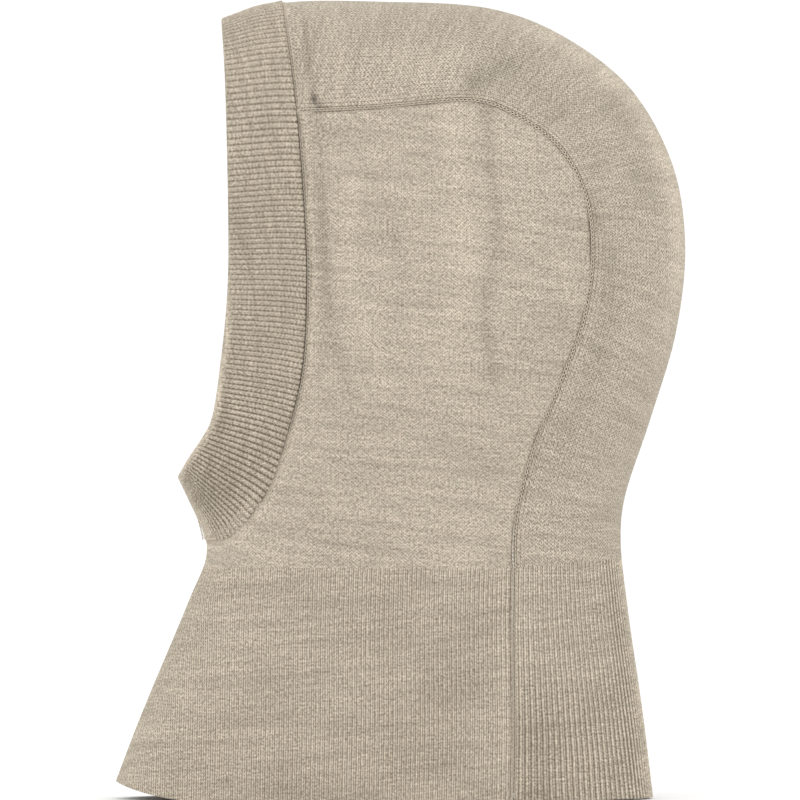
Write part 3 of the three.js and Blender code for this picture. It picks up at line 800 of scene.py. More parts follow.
class ShaderTree(NodeTree):
    """A material's node tree."""

    def __init__(self, name: str) -> None:
        """Starts a material with a Principled shader."""
        self.material = bpy.data.materials.new(name)
        self.material.use_nodes = True
        self.tree = self.material.node_tree
        self.shader = self.tree.nodes["Principled BSDF"]

    def feed(self, label: str, socket: bpy.types.NodeSocket) -> None:
        """Links a socket to one of the shader's inputs."""
        self.tree.links.new(socket, self.shader.inputs[label])

    def emboss(self, height: object, distance: float, strength: float = 1.0) -> None:
        """Turns a height into fine relief on the shader."""
        links = {"Distance": distance, "Height": height, "Strength": strength}
        self.feed("Normal", self.add("ShaderNodeBump", links).outputs[0])

    def noise(self, vector: object, scale: float, detail: float) -> bpy.types.NodeSocket:
        """A noise between 0 and 1 over a vector."""
        links = {"Vector": vector, "Scale": scale, "Detail": detail}
        return self.add("ShaderNodeTexNoise", links).outputs[0]

    def cloth_noise(
        self, u: object, v: object, pace: tuple[float, float], detail: float
    ) -> bpy.types.NodeSocket:
        """A noise between 0 and 1 over the cloth, at a pace along and up it."""
        links = {0: self.math("MULTIPLY", u, pace[0]), 1: self.math("MULTIPLY", v, pace[1])}
        return self.noise(self.add("ShaderNodeCombineXYZ", links).outputs[0], 1.0, detail)

    def chance(self, number: object) -> bpy.types.NodeSocket:
        """A fixed random value for each whole number."""
        links = {"W": self.math("FLOOR", number)}
        return self.add("ShaderNodeTexWhiteNoise", links, noise_dimensions="1D").outputs[0]

    def spread(
        self, value: object, source: tuple[float, float], target: tuple[float, float]
    ) -> bpy.types.NodeSocket:
        """A value moved from one range to another, and held inside it."""
        links = dict(enumerate((value, *source, *target)))
        return self.add("ShaderNodeMapRange", links, clamp=True).outputs[0]

    def held_product(self, first: object, second: object) -> bpy.types.NodeSocket:
        """A product held between 0 and 1."""
        links = {0: first, 1: second}
        return self.add("ShaderNodeMath", links, operation="MULTIPLY", use_clamp=True).outputs[0]

    def mix(self, share: object, first: object, second: object) -> bpy.types.NodeSocket:
        """A colour between two, by a share."""
        node = self.add("ShaderNodeMix", {}, data_type="RGBA")
        for key, value in ((0, share), (6, first), (7, second)):
            socket = node.inputs[key]
            if isinstance(value, bpy.types.NodeSocket):
                self.tree.links.new(value, socket)
            else:
                socket.default_value = (*value, 1.0) if isinstance(value, tuple) else value
        return node.outputs[2]

    def shine(self, roughness: float, sheen: float, tint: Colour) -> None:
        """Sets the wool's soft sheen on the shader's own sockets."""
        self.shader.inputs["Roughness"].default_value = roughness
        self.shader.inputs["Specular IOR Level"].default_value = 0.22
        self.shader.inputs["Sheen Weight"].default_value = sheen
        self.shader.inputs["Sheen Roughness"].default_value = 0.45
        self.shader.inputs["Sheen Tint"].default_value = (*tint, 1.0)


@dataclass(frozen=True)
class KnitFinish:
    """Melange wool knit: columns of V stitches with flecked yarn.

    Wales and courses are in stitch coordinates; u_length is how many millimetres one
    step of u is, for a rib whose u counts its ribs.
    """

    name: str
    pale: Colour = (0.785, 0.692, 0.56)
    deep: Colour = (0.1, 0.08, 0.055)
    fleck: Colour = (0.17, 0.135, 0.09)
    wale: float = 1.58
    course: float = 1.3
    gap: float = 0.42
    gap_power: float = 3.0
    heart: float = 0.36
    u_length: float = 1.0
    chevron: float = 0.55
    contrast: tuple[float, float] = (0.45, 1.5)
    relief: float = 0.00022
    streak: float = 0.3
    # how dark the painted shade in the rib grooves is
    groove_shade: float = 0.0
    groove_power: float = 3.0
    fibre_scale: float = 2600.0
    wander_scale: float = 260.0
    drift_scale: float = 70.0
    speck_scale: float = 900.0
    grain_pace: tuple[float, float] = (0.95, 1.05)
    long_pace: tuple[float, float] = (0.022, 0.3)
    short_pace: tuple[float, float] = (0.12, 0.55)
    slant: float = 0.13
    dash_courses: float = 1.35
    roughness: float = 0.88
    sheen: float = 0.2

    def material(self) -> bpy.types.Material:
        """Makes the material, which reads the stitch UV, rib phase and the painted shade."""
        tree = ShaderTree(self.name)
        place = tree.add("ShaderNodeUVMap", {}, uv_map="stitch").outputs[0]
        u, v = tree.add("ShaderNodeSeparateXYZ", {0: place}).outputs[:2]
        spot = tree.add("ShaderNodeTexCoord", {}).outputs["Object"]
        stitch = self._stitches(tree, spot, u, v)
        fibre = tree.noise(spot, self.fibre_scale, 3.0)
        height = tree.math("MULTIPLY_ADD", fibre, 0.35, stitch)
        tree.emboss(height, self.relief)
        colour = tree.mix(stitch, self.deep, self.pale)
        colour = self._melange(tree, colour, spot, u, v)
        colour = self._shaded(tree, colour, v)
        tree.feed("Base Color", colour)
        tree.feed("Roughness", tree.math("MULTIPLY_ADD", stitch, -0.1, self.roughness + 0.05))
        tree.shine(self.roughness, self.sheen, self.pale)
        return tree.material

    def _pace(self, pace: tuple[float, float]) -> tuple[float, float]:
        """A noise's pace along and up the cloth, for this knit's own u."""
        return (pace[0] * self.u_length, pace[1])

    def _stitches(
        self, tree: ShaderTree, spot: object, u: object, v: object
    ) -> bpy.types.NodeSocket:
        """Columns of V stitches, each a little different, from 0 in the gaps to 1 on the yarn."""
        wander = tree.noise(spot, self.wander_scale, 2.0)
        drift = tree.noise(spot, self.drift_scale, 2.0)
        column = tree.math("MULTIPLY_ADD", wander, 0.35, tree.math("DIVIDE", u, self.wale))
        centred = tree.math("SUBTRACT", tree.math("FRACT", column), 0.5)
        side = tree.math("MULTIPLY", tree.math("ABSOLUTE", centred), 2.0)
        edge = tree.math("POWER", side, self.gap_power)
        middle = tree.math("POWER", tree.math("SUBTRACT", 1.0, side), 4.0)
        row = tree.math("MULTIPLY_ADD", side, 0.9, tree.math("DIVIDE", v, self.course))
        uneven = tree.math("MULTIPLY_ADD", tree.chance(column), 0.3, row)
        row = tree.math("MULTIPLY_ADD", wander, 0.6, uneven)
        row = tree.math("MULTIPLY_ADD", drift, 2.2, row)
        wave = tree.math("POWER", tree.math("MULTIPLY_ADD", tree.cosine(row), 0.49, 0.51), 0.8)
        opened = tree.math("MULTIPLY_ADD", wave, -0.9 * self.gap, 1.3 * self.gap)
        hole = tree.math("MULTIPLY", edge, opened)
        leg = tree.math("MULTIPLY_ADD", middle, -self.heart, tree.math("SUBTRACT", 1.0, hole))
        lit = tree.math("MULTIPLY_ADD", wave, self.chevron, 1.0 - self.chevron)
        stitch = tree.math("MULTIPLY", leg, lit)
        grain = tree.cloth_noise(u, v, self._pace(self.grain_pace), 2.0)
        return tree.held_product(stitch, tree.spread(grain, (0.3, 0.7), self.contrast))

    def _melange(
        self, tree: ShaderTree, colour: object, spot: object, u: object, v: object
    ) -> bpy.types.NodeSocket:
        """Mixes in the yarn's streaks along its courses and single darker fibres."""
        slant = tree.math("MULTIPLY_ADD", u, self.slant * self.u_length, v)
        long = tree.cloth_noise(u, slant, self._pace(self.long_pace), 3.0)
        short = tree.cloth_noise(u, slant, self._pace(self.short_pace), 2.0)
        both = tree.math("ADD", tree.math("MULTIPLY", long, 0.6), tree.math("MULTIPLY", short, 0.4))
        streaks = tree.spread(both, (0.38, 0.66), (0.0, self.streak))
        colour = tree.mix(streaks, colour, self.deep)
        specks = tree.spread(tree.noise(spot, self.speck_scale, 2.0), (0.56, 0.72), (0.0, 0.55))
        return tree.mix(specks, colour, self.fleck)

    def _shaded(self, tree: ShaderTree, colour: object, v: object) -> bpy.types.NodeSocket:
        """Paints shade into the rib grooves in dashes, one a stitch, and follows the painted shade.
        """
        phase = tree.add("ShaderNodeAttribute", {}, attribute_name="rib_phase").outputs["Fac"]
        share = tree.add("ShaderNodeAttribute", {}, attribute_name="rib_share").outputs["Fac"]
        valley = tree.math("MULTIPLY_ADD", tree.cosine(phase), -0.5, 0.5)
        groove = tree.math("POWER", valley, self.groove_power)
        stitches = tree.math("DIVIDE", v, self.dash_courses * self.course)
        count = tree.math("ADD", stitches, tree.math("MULTIPLY", tree.chance(phase), 5.0))
        dash = tree.math("MULTIPLY_ADD", tree.cosine(count), 0.3, 0.7)
        patchy = tree.cloth_noise(phase, v, (2.3, 0.35), 1.0)
        dash = tree.math("MULTIPLY", dash, tree.math("MULTIPLY_ADD", patchy, 1.2, 0.4))
        # painted shade in the rib grooves, dashed one a stitch
        deep = tree.math("MULTIPLY", tree.math("MULTIPLY", groove, share), self.groove_shade)
        colour = tree.mix(tree.held_product(deep, dash), colour, self.fleck)
        # scales the colour by the painted shade and painted highlight
        shade = tree.add("ShaderNodeAttribute", {}, attribute_name="shade").outputs["Fac"]
        return tree.scaled(colour, tree.spread(shade, SHADE_RANGE, SHADE_SCALE))


@dataclass(frozen=True)
class ThreadFinish:
    """Twisted wool yarn of the linked seams."""

    name: str = "linking_yarn"
    pale: Colour = (0.86, 0.765, 0.625)
    deep: Colour = (0.3, 0.25, 0.185)
    twist: float = 1100.0
    roughness: float = 0.9

    def material(self) -> bpy.types.Material:
        """Makes the material from slanting twist lines and fibre noise."""
        tree = ShaderTree(self.name)
        place = tree.add("ShaderNodeTexCoord", {}).outputs["Object"]
        twist = {"Vector": place, "Scale": self.twist, "Distortion": 2.0}
        lines = tree.math("MULTIPLY", tree.add("ShaderNodeTexWave", twist).outputs["Fac"], 0.6)
        fibre = tree.noise(place, 2200.0, 3.0)
        height = tree.math("ADD", lines, tree.math("MULTIPLY", fibre, 0.4))
        tree.emboss(height, 0.0001)
        tree.feed("Base Color", tree.mix(height, self.deep, self.pale))
        tree.feed("Roughness", tree.math("MULTIPLY_ADD", fibre, 0.1, self.roughness - 0.05))
        tree.shine(self.roughness, 0.25, self.pale)
        return tree.material


@dataclass(frozen=True)
class SatinFinish:
    """Woven satin of the blank care label."""

    name: str = "label_satin"
    pale: Colour = (0.84, 0.83, 0.79)
    deep: Colour = (0.66, 0.65, 0.61)

    def material(self) -> bpy.types.Material:
        """Makes the material from fine crossing threads."""
        tree = ShaderTree(self.name)
        place = tree.add("ShaderNodeUVMap", {}, uv_map="stitch").outputs[0]
        u, v = tree.add("ShaderNodeSeparateXYZ", {0: place}).outputs[:2]
        warp = tree.math("SINE", tree.math("MULTIPLY", u, 22.0))
        weft = tree.math("SINE", tree.math("MULTIPLY", v, 16.0))
        height = tree.math("MULTIPLY_ADD", tree.math("MULTIPLY", warp, weft), 0.5, 0.5)
        tree.emboss(height, 0.00004, 0.6)
        tree.feed("Base Color", tree.mix(height, self.deep, self.pale))
        tree.feed("Roughness", tree.math("MULTIPLY_ADD", height, -0.08, 0.5))
        tree.shine(0.46, 0.1, self.pale)
        return tree.material


@dataclass(frozen=True)
class PaperFinish:
    """Matt pale paper of the floor and the backdrop."""

    name: str = "studio_paper"
    tone: float = 0.94

    def material(self) -> bpy.types.Material:
        """Makes the material with a very faint mottle."""
        tree = ShaderTree(self.name)
        place = tree.add("ShaderNodeTexCoord", {}).outputs["Object"]
        cloud = tree.noise(place, 3.0, 2.0)
        low, high = (self.tone - 0.01,) * 3, (self.tone,) * 3
        tree.feed("Base Color", tree.mix(cloud, low, high))
        tree.shader.inputs["Roughness"].default_value = 0.95
        tree.shader.inputs["Specular IOR Level"].default_value = 0.1
        return tree.material


# ------------------------------------------------------------------ pieces


def near_line(points: Array, line: Array) -> Array:
    """Distances in the side view from points to a line of close points."""
    flat = points.reshape(-1, 2)
    away = np.empty(len(flat))
    for chunk in np.array_split(np.arange(len(flat)), max(1, len(flat) // 8000)):
        away[chunk] = np.sqrt(((flat[chunk][:, None, :] - line[None]) ** 2).sum(-1).min(1))
    return away.reshape(points.shape[:-1])


@dataclass(frozen=True)
class Fold:
    """A soft valley or ridge in the side view, with painted shade or painted highlight along it."""

    path: tuple[tuple[float, float], ...]
    width: float
    rise: float
    shade: float

    def press(self, layer: Layer, flat: Array, from_seam: Array) -> None:
        """Adds the fold's relief and its painted shade or highlight to a layer.

        Args:
            layer: the knit.
            flat: the side-view point of each of its points.
            from_seam: how far each is from the seam, where the fold flattens out.
        """
        near = hump(near_line(flat, Outline(list(self.path), 16).points), 0.0, self.width)
        layer.relief += self.rise * near * smoothstep(from_seam, 1.0, 7.0)
        # painted shade along valleys, painted highlight along ridges
        layer.shade += self.shade * near


# Folds: path, width, rise of the relief, painted shade (below 0 darker, above 0 lighter).
SIDE_FOLDS = (
    Fold(
        ((27.0, 297.0), (30.0, 270.0), (33.0, 240.0), (28.0, 214.0), (31.0, 180.0)), 3.4, -0.9, -0.2
    ),
    Fold(((23.0, 303.0), (31.0, 299.0)), 5.0, -0.8, -0.34),
    Fold(((12.0, 292.0), (17.0, 262.0), (18.0, 225.0), (10.0, 190.0)), 5.5, 0.5, 0.11),
    Fold(
        ((-29.0, 262.0), (-31.0, 235.0), (-29.0, 215.0), (-19.0, 190.0), (-15.0, 176.0)),
        3.6,
        0.6,
        0.13,
    ),
    Fold(((-43.0, 262.0), (-41.0, 225.0), (-37.0, 200.0), (-31.0, 175.0)), 3.2, -0.6, -0.17),
    Fold(((-12.0, 243.0), (-8.0, 222.0), (-10.0, 205.0)), 4.5, -0.4, -0.1),
    Fold(((-40.0, 283.0), (-28.0, 278.0)), 6.0, -0.2, -0.1),
    Fold(((58.0, 232.0), (66.0, 205.0), (67.0, 185.0), (57.0, 160.0)), 3.5, 0.3, 0.1),
    Fold(((-46.0, 160.0), (-44.0, 180.0)), 3.0, 0.3, 0.09),
)
CROWN_FOLDS = (
    Fold(((24.0, 306.0), (31.0, 310.0), (38.0, 314.0)), 5.0, -0.6, -0.26),
    Fold(((46.0, 306.0), (62.0, 292.0), (74.0, 272.0)), 8.0, -0.2, -0.09),
    Fold(((70.0, 258.0), (76.0, 245.0)), 4.0, -0.4, -0.16),
    Fold(((92.0, 268.0), (98.0, 258.0)), 4.5, -0.3, -0.14),
    Fold(((-12.0, 318.0), (2.0, 312.0), (14.0, 318.0)), 8.0, 0.3, 0.12),
    Fold(((82.0, 235.0), (80.0, 205.0), (72.0, 178.0), (62.0, 158.0)), 4.5, -0.3, -0.12),
    Fold(((-45.2, 299.5), (-44.0, 296.3), (-39.6, 294.4)), 1.7, -0.9, -0.6),
    Fold(((-49.5, 333.0), (-47.5, 315.0), (-45.0, 299.0)), 1.7, -0.5, -0.26),
    Fold(((-36.0, 335.0), (-33.5, 300.0)), 4.0, 0.3, 0.1),
)


def surface_area(obj: bpy.types.Object) -> float:
    """The mesh's area in square metres."""
    areas = np.empty(len(obj.data.polygons), np.float32)
    obj.data.polygons.foreach_get("area", areas)
    return float(areas.sum())


@dataclass
class Piece:
    """What every piece shares: the hood's shape, its finish and the CAD node it stands for."""

    hood: Hood
    node: str
    material: bpy.types.Material
    slot: str
    flat: tuple[float, float] | None = None
    area: float | None = None

    def settle(self, obj: bpy.types.Object) -> bpy.types.Object:
        """Dresses the piece and tells the frame what it is.

        Args:
            obj: the finished mesh.

        Returns:
            The same object.
        """
        if not obj.data.materials:
            obj.data.materials.append(self.material)
        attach(obj, "root")
        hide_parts(self.node)
        LOG.info("%s: %d faces, %.5f m2", obj.name, len(obj.data.polygons), surface_area(obj))
        return obj


@dataclass
class RibbedPiece(Piece):
    """A piece with grooves between its ribs."""

    groove: float = 0.4
    sharpness: float = 2.0

    def grooved(self, obj: bpy.types.Object, tree: GeometryTree) -> bpy.types.Object:
        """Presses the grooves into the mesh with the rib tree."""
        depth = self.groove * MM
        values = {"Groove Depth": depth, "Groove Sharpness": self.sharpness}
        return tree.apply(obj, values | {"Material": self.material})


@dataclass
class SidePanel(Piece):
    """One side of the hood in jersey, from the face band to the crown seam."""

    side: Side = Side.LEFT
    columns: int = 168
    rows: int = 204
    thick: float = 1.5
    seam_gap: float = 0.62
    crowding: tuple[float, float] = (0.72, 0.6)
    middle_gap: float = 0.03
    wave: float = 0.5
    fine_wave: float = 0.16
    gather_rise: float = 0.16
    gather_pitch: float = 1.67
    dash_pitch: float = 1.9
    groove: float = 0.75
    waves: Waves = (70.0, 58.0, 34.0)
    fine_waves: Waves = (30.0, 26.0, 9.0)
    cloud: Waves = (90.0, 60.0, 45.0)

    def _grid(self) -> Array:
        """The panel's side-view points, rows from the neck up and columns from the front back."""
        hood = self.hood
        corner, corner_length = hood.brow_corner(self.seam_gap)
        low, throat = hood.nape_length(0.02), hood.throat_length(0.02)
        shoulder = lerp(hood.brow_corner(0.0)[1], hood.nape_at, 0.42)
        band_end = hood.tucked * hood.band_chin
        throat_share = (throat - band_end) / (throat - band_end + hood.band_seam.length)

        def front(v: Array) -> Array:
            climb = hood.front.at(lerp(throat, band_end, v / throat_share))
            round_band = lerp(1.0, corner, np.clip((v - throat_share) / (1 - throat_share), 0, 1))
            edge = hood.band_point(round_band, hood.tucked)
            return np.where((v < throat_share)[..., None], climb, edge)

        def back(v: Array) -> Array:
            return hood.crown_seam(lerp(low, shoulder, v), self.seam_gap)

        def top(u: Array) -> Array:
            return hood.crown_seam(lerp(corner_length, shoulder, u), self.seam_gap)

        ends = np.array([0.0])
        bottom = straight(front(ends)[0], back(ends)[0])
        u = crowded(self.columns, self.crowding[0])[None, :] ** 1.12
        v = crowded(self.rows, self.crowding[1])[:, None]
        return coons(front, back, bottom, top, u, v)

    def build(self, courses: Courses) -> bpy.types.Object:
        """Builds and dresses the panel.

        Args:
            courses: measures how far along its course a stitch is.

        Returns:
            The finished piece.
        """
        hood, side = self.hood, self.side.value
        flat = self._grid()
        points = hood.on_shape(flat, side)
        points[..., 0] = side * np.maximum(side * points[..., 0], self.middle_gap)
        layer = Layer.plain(points, hood.outward(points), courses.stitches(flat))
        seam = hood.crown_seam(np.linspace(40.0, hood.nape_at + 4, CLOSE_POINTS), 0.0)
        from_seam = near_line(flat, seam)
        from_band = near_line(flat, hood.band_point(np.linspace(0.0, 1.0, CLOSE_POINTS), 1.0))
        under = self._under_band(flat)
        top = smoothstep(flat[..., 1], 262.0, 285.0) * hump(flat[..., 0], -38.0, 17.0)
        strong = 0.42 + 0.6 * top + 0.5 * smoothstep(-flat[..., 1], -135.0, -115.0)
        layer.relief += self.wave * ripple(points, self.waves, SEED)
        layer.relief += self.fine_wave * ripple(points, self.fine_waves, SEED + 1)
        for fold in SIDE_FOLDS:
            fold.press(layer, flat, from_seam)
        layer.relief *= smoothstep(flat[..., 1] - hood.neck_height, 0.0, LEVEL_OUT)
        layer.relief *= smoothstep(hood.read(hood.front_depth, flat), 1.0, LEVEL_OUT)
        layer.relief -= self.groove * strong * hump(from_seam, 0.0, 1.5)
        layer.relief += 0.25 * hump(from_seam, 4.0, 2.4)
        layer.relief *= 1.0 - under
        straight_part = smoothstep(flat[..., 1], 150.0, 190.0)
        layer.relief -= (0.1 + 0.35 * straight_part) * hump(from_band, 0.8, 1.0) * (1.0 - under)
        gathers = self._gathers(flat, from_seam)
        layer.relief += gathers
        # painted light and shade on the puckers, following their relief
        layer.shade += 1.3 * gathers
        # painted shade in the crown seam's groove
        layer.shade -= 0.6 * strong * hump(from_seam, 0.0, 1.1)
        # painted shade in the groove beside the band seam, in dashes
        dashes = 0.75 + 0.25 * np.sin(2.0 * np.pi * flat[..., 1] / self.dash_pitch)
        layer.shade -= (0.25 + 0.6 * straight_part) * dashes * hump(from_band, 0.5, 0.75)
        # painted highlight on the selvedge beside the band
        layer.shade += 0.14 * hump(from_band, 3.6, 0.8)
        layer.shade -= 0.12 * straight_part * hump(from_band, 8.5, 2.6)
        layer.shade += PALE_COURSE * hump(flat[..., 1], hood.neck_height, 0.55)
        # soft patches of painted shade
        layer.shade += 0.05 * ripple(points, self.cloud, SEED + 5)
        name = f"side_panel_{self.side.name.lower()}_knit"
        obj = KnitMesh.build(name, hood, layer, self.thick, (3, 3))
        return self.settle(obj)

    def _under_band(self, flat: Array) -> Array:
        """1 where the panel is tucked between the band's two plies."""
        seam = self.hood.band_point(np.linspace(0.0, 1.0, EDGE_POINTS), 1.0)
        inner = self.hood.band_point(np.linspace(0.0, 1.0, EDGE_POINTS), self.hood.tucked)
        away = near_line(flat, inner)
        tucked = (away < near_line(flat, seam) * 1.05 + 0.1) & (away < self.hood.tuck + 1.0)
        return tucked.astype(float)

    def _gathers(self, flat: Array, from_seam: Array) -> Array:
        """Short upright puckers under the top seam, near the band."""
        along = smoothstep(flat[..., 0], -50.0, -44.0) * smoothstep(-flat[..., 0], 12.0, 30.0)
        high = smoothstep(flat[..., 1], 255.0, 285.0)
        fade = hump(from_seam, 0.0, 7.0) * high * along
        return self.gather_rise * fade * np.sin(2.0 * np.pi * flat[..., 0] / self.gather_pitch)


class Courses:
    """How far each stitch is along its course, measured over the filled shape."""

    def __init__(self, hood: Hood) -> None:
        """Walks along each level course of the hood's table."""
        half = np.sqrt(np.maximum(hood.square, 0.0))
        step = np.diff(half, axis=1)
        held = np.clip(step, -2.5 * hood.cell, 2.5 * hood.cell)
        long = np.cumsum(np.hypot(held, hood.cell), axis=1)
        long = np.hstack([np.zeros((len(hood.zs), 1)), long])
        middle = int(np.argmin(np.abs(hood.ys)))
        self.table = long - long[:, middle : middle + 1]
        self.hood = hood

    def stitches(self, flat: Array) -> Array:
        """Stitch coordinates in millimetres for side-view points."""
        return np.stack([self.hood.read(self.table, flat), flat[..., 1]], -1)


@dataclass
class CrownStrip(Piece):
    """The jersey strip over the crown, from the band down to the nape."""

    columns: int = 74
    rows: int = 330
    thick: float = 1.5
    seam_gap: float = 0.62
    crowding: float = 0.35
    wale: float = 1.85
    wave: float = 0.45
    fine_wave: float = 0.14
    waves: Waves = (60.0, 52.0, 40.0)
    fine_waves: Waves = (22.0, 24.0, 12.0)
    cloud: Waves = (70.0, 60.0, 50.0)

    def build(self) -> bpy.types.Object:
        """Builds and dresses the strip on both sides of the middle plane.

        Returns:
            The finished piece.
        """
        hood = self.hood
        shift = -self.seam_gap
        corner, corner_length = hood.brow_corner(shift)
        start, end = hood.tucked * hood.band_brow, hood.nape_length(0.02)

        def outline(v: Array) -> Array:
            return hood.back.at(lerp(start, end, v))

        def seam(v: Array) -> Array:
            return hood.crown_seam(lerp(corner_length, end, v), shift)

        def brow(u: Array) -> Array:
            return hood.band_point(corner * u, hood.tucked)

        ends = np.array([1.0])
        nape = straight(outline(ends)[0], seam(ends)[0])
        v = crowded(self.rows, self.crowding)[:, None]
        u = np.sin(np.linspace(0.0, 1.0, self.columns + 1) * math.pi / 2)
        eased = 1.0 - np.cos(u * math.pi / 2)
        flat = coons(outline, seam, brow, nape, eased[None, :], v)
        half = hood.on_shape(flat, 1.0)
        half[:, 0, 0] = 0.0
        width = run_lengths(half)
        share = width / width[:, -1:]
        wales = round(float(width[:, -1].mean()) / self.wale)
        down = run_lengths(half[:, self.columns // 2])
        uv = np.stack([share * wales * self.wale, np.repeat(down[:, None], len(u), 1)], -1)
        from_seam = width[:, -1:] - width + self.seam_gap
        points, flat, from_seam, uv = self._both_sides(half, flat, from_seam, uv)
        layer = Layer.plain(points, hood.outward(points), uv)
        self._shape(layer, flat, from_seam)
        obj = KnitMesh.build("crown_strip_knit", hood, layer, self.thick, (3, 4))
        return self.settle(obj)

    @staticmethod
    def _both_sides(
        half: Array, flat: Array, away: Array, uv: Array
    ) -> tuple[Array, Array, Array, Array]:
        """Mirrors a half strip, right side first, and joins the halves at the middle."""
        other = uv * MIRROR[:2]
        parts = ((half * MIRROR, half), (flat, flat), (away, away), (other, uv))
        return tuple(np.concatenate([first[:, :0:-1], second], axis=1) for first, second in parts)

    def _shape(self, layer: Layer, flat: Array, from_seam: Array) -> None:
        """Adds unevenness, folds and wales by the seam, painted shade at seam, band and top, and a
        painted highlight on the back.
        """
        hood = self.hood
        band = hood.band_point(np.linspace(0.0, 0.6, EDGE_POINTS), 1.0)
        from_band = near_line(flat, band)
        ahead = near_line(flat, hood.band_point(np.linspace(0.0, 0.6, EDGE_POINTS), hood.tucked))
        clear = smoothstep(ahead - hood.tuck, 0.2, 2.0)
        beside = np.exp(-((from_seam / 4.2) ** 4))
        wave = self.wave * ripple(layer.points, self.waves, SEED + 2)
        wave += self.fine_wave * ripple(layer.points, self.fine_waves, SEED + 3)
        layer.relief += wave
        for fold in CROWN_FOLDS:
            fold.press(layer, flat, from_seam)
        edge = hood.read(hood.back_depth, flat)
        above_nape = flat[..., 1] - (hood.neck_height + hood.nape_rise)
        inland = clear * smoothstep(edge, 0.0, 18.0)
        layer.relief *= inland * smoothstep(above_nape, 0.0, LEVEL_OUT)
        layer.relief += 0.17 * beside * np.cos(2.0 * np.pi * from_seam / self.wale) * clear
        layer.relief -= 0.35 * hump(from_seam, 0.0, 0.8)
        # painted shade beside the tucked band edge
        layer.shade -= 0.5 * hump(from_band, 0.5, 0.8)
        # painted light and shade on the wales' ridges and troughs beside the seam
        layer.shade += 0.15 * beside * np.cos(2.0 * np.pi * from_seam / self.wale)
        # painted shade in the seam's groove
        layer.shade -= 0.3 * hump(from_seam, 0.0, 0.7)
        # painted highlight along the upper back outline
        ridge = smoothstep(flat[..., 0], 30.0, 75.0) * hump(edge, 3.0, 4.5)
        layer.shade += 0.3 * ridge * smoothstep(flat[..., 1], 185.0, 230.0)
        # painted shade over the top of the crown
        layer.shade -= 0.08 * smoothstep(flat[..., 1], 280.0, 305.0)
        # soft patches of painted shade
        layer.shade += 0.04 * ripple(layer.points, self.cloud, SEED + 6)


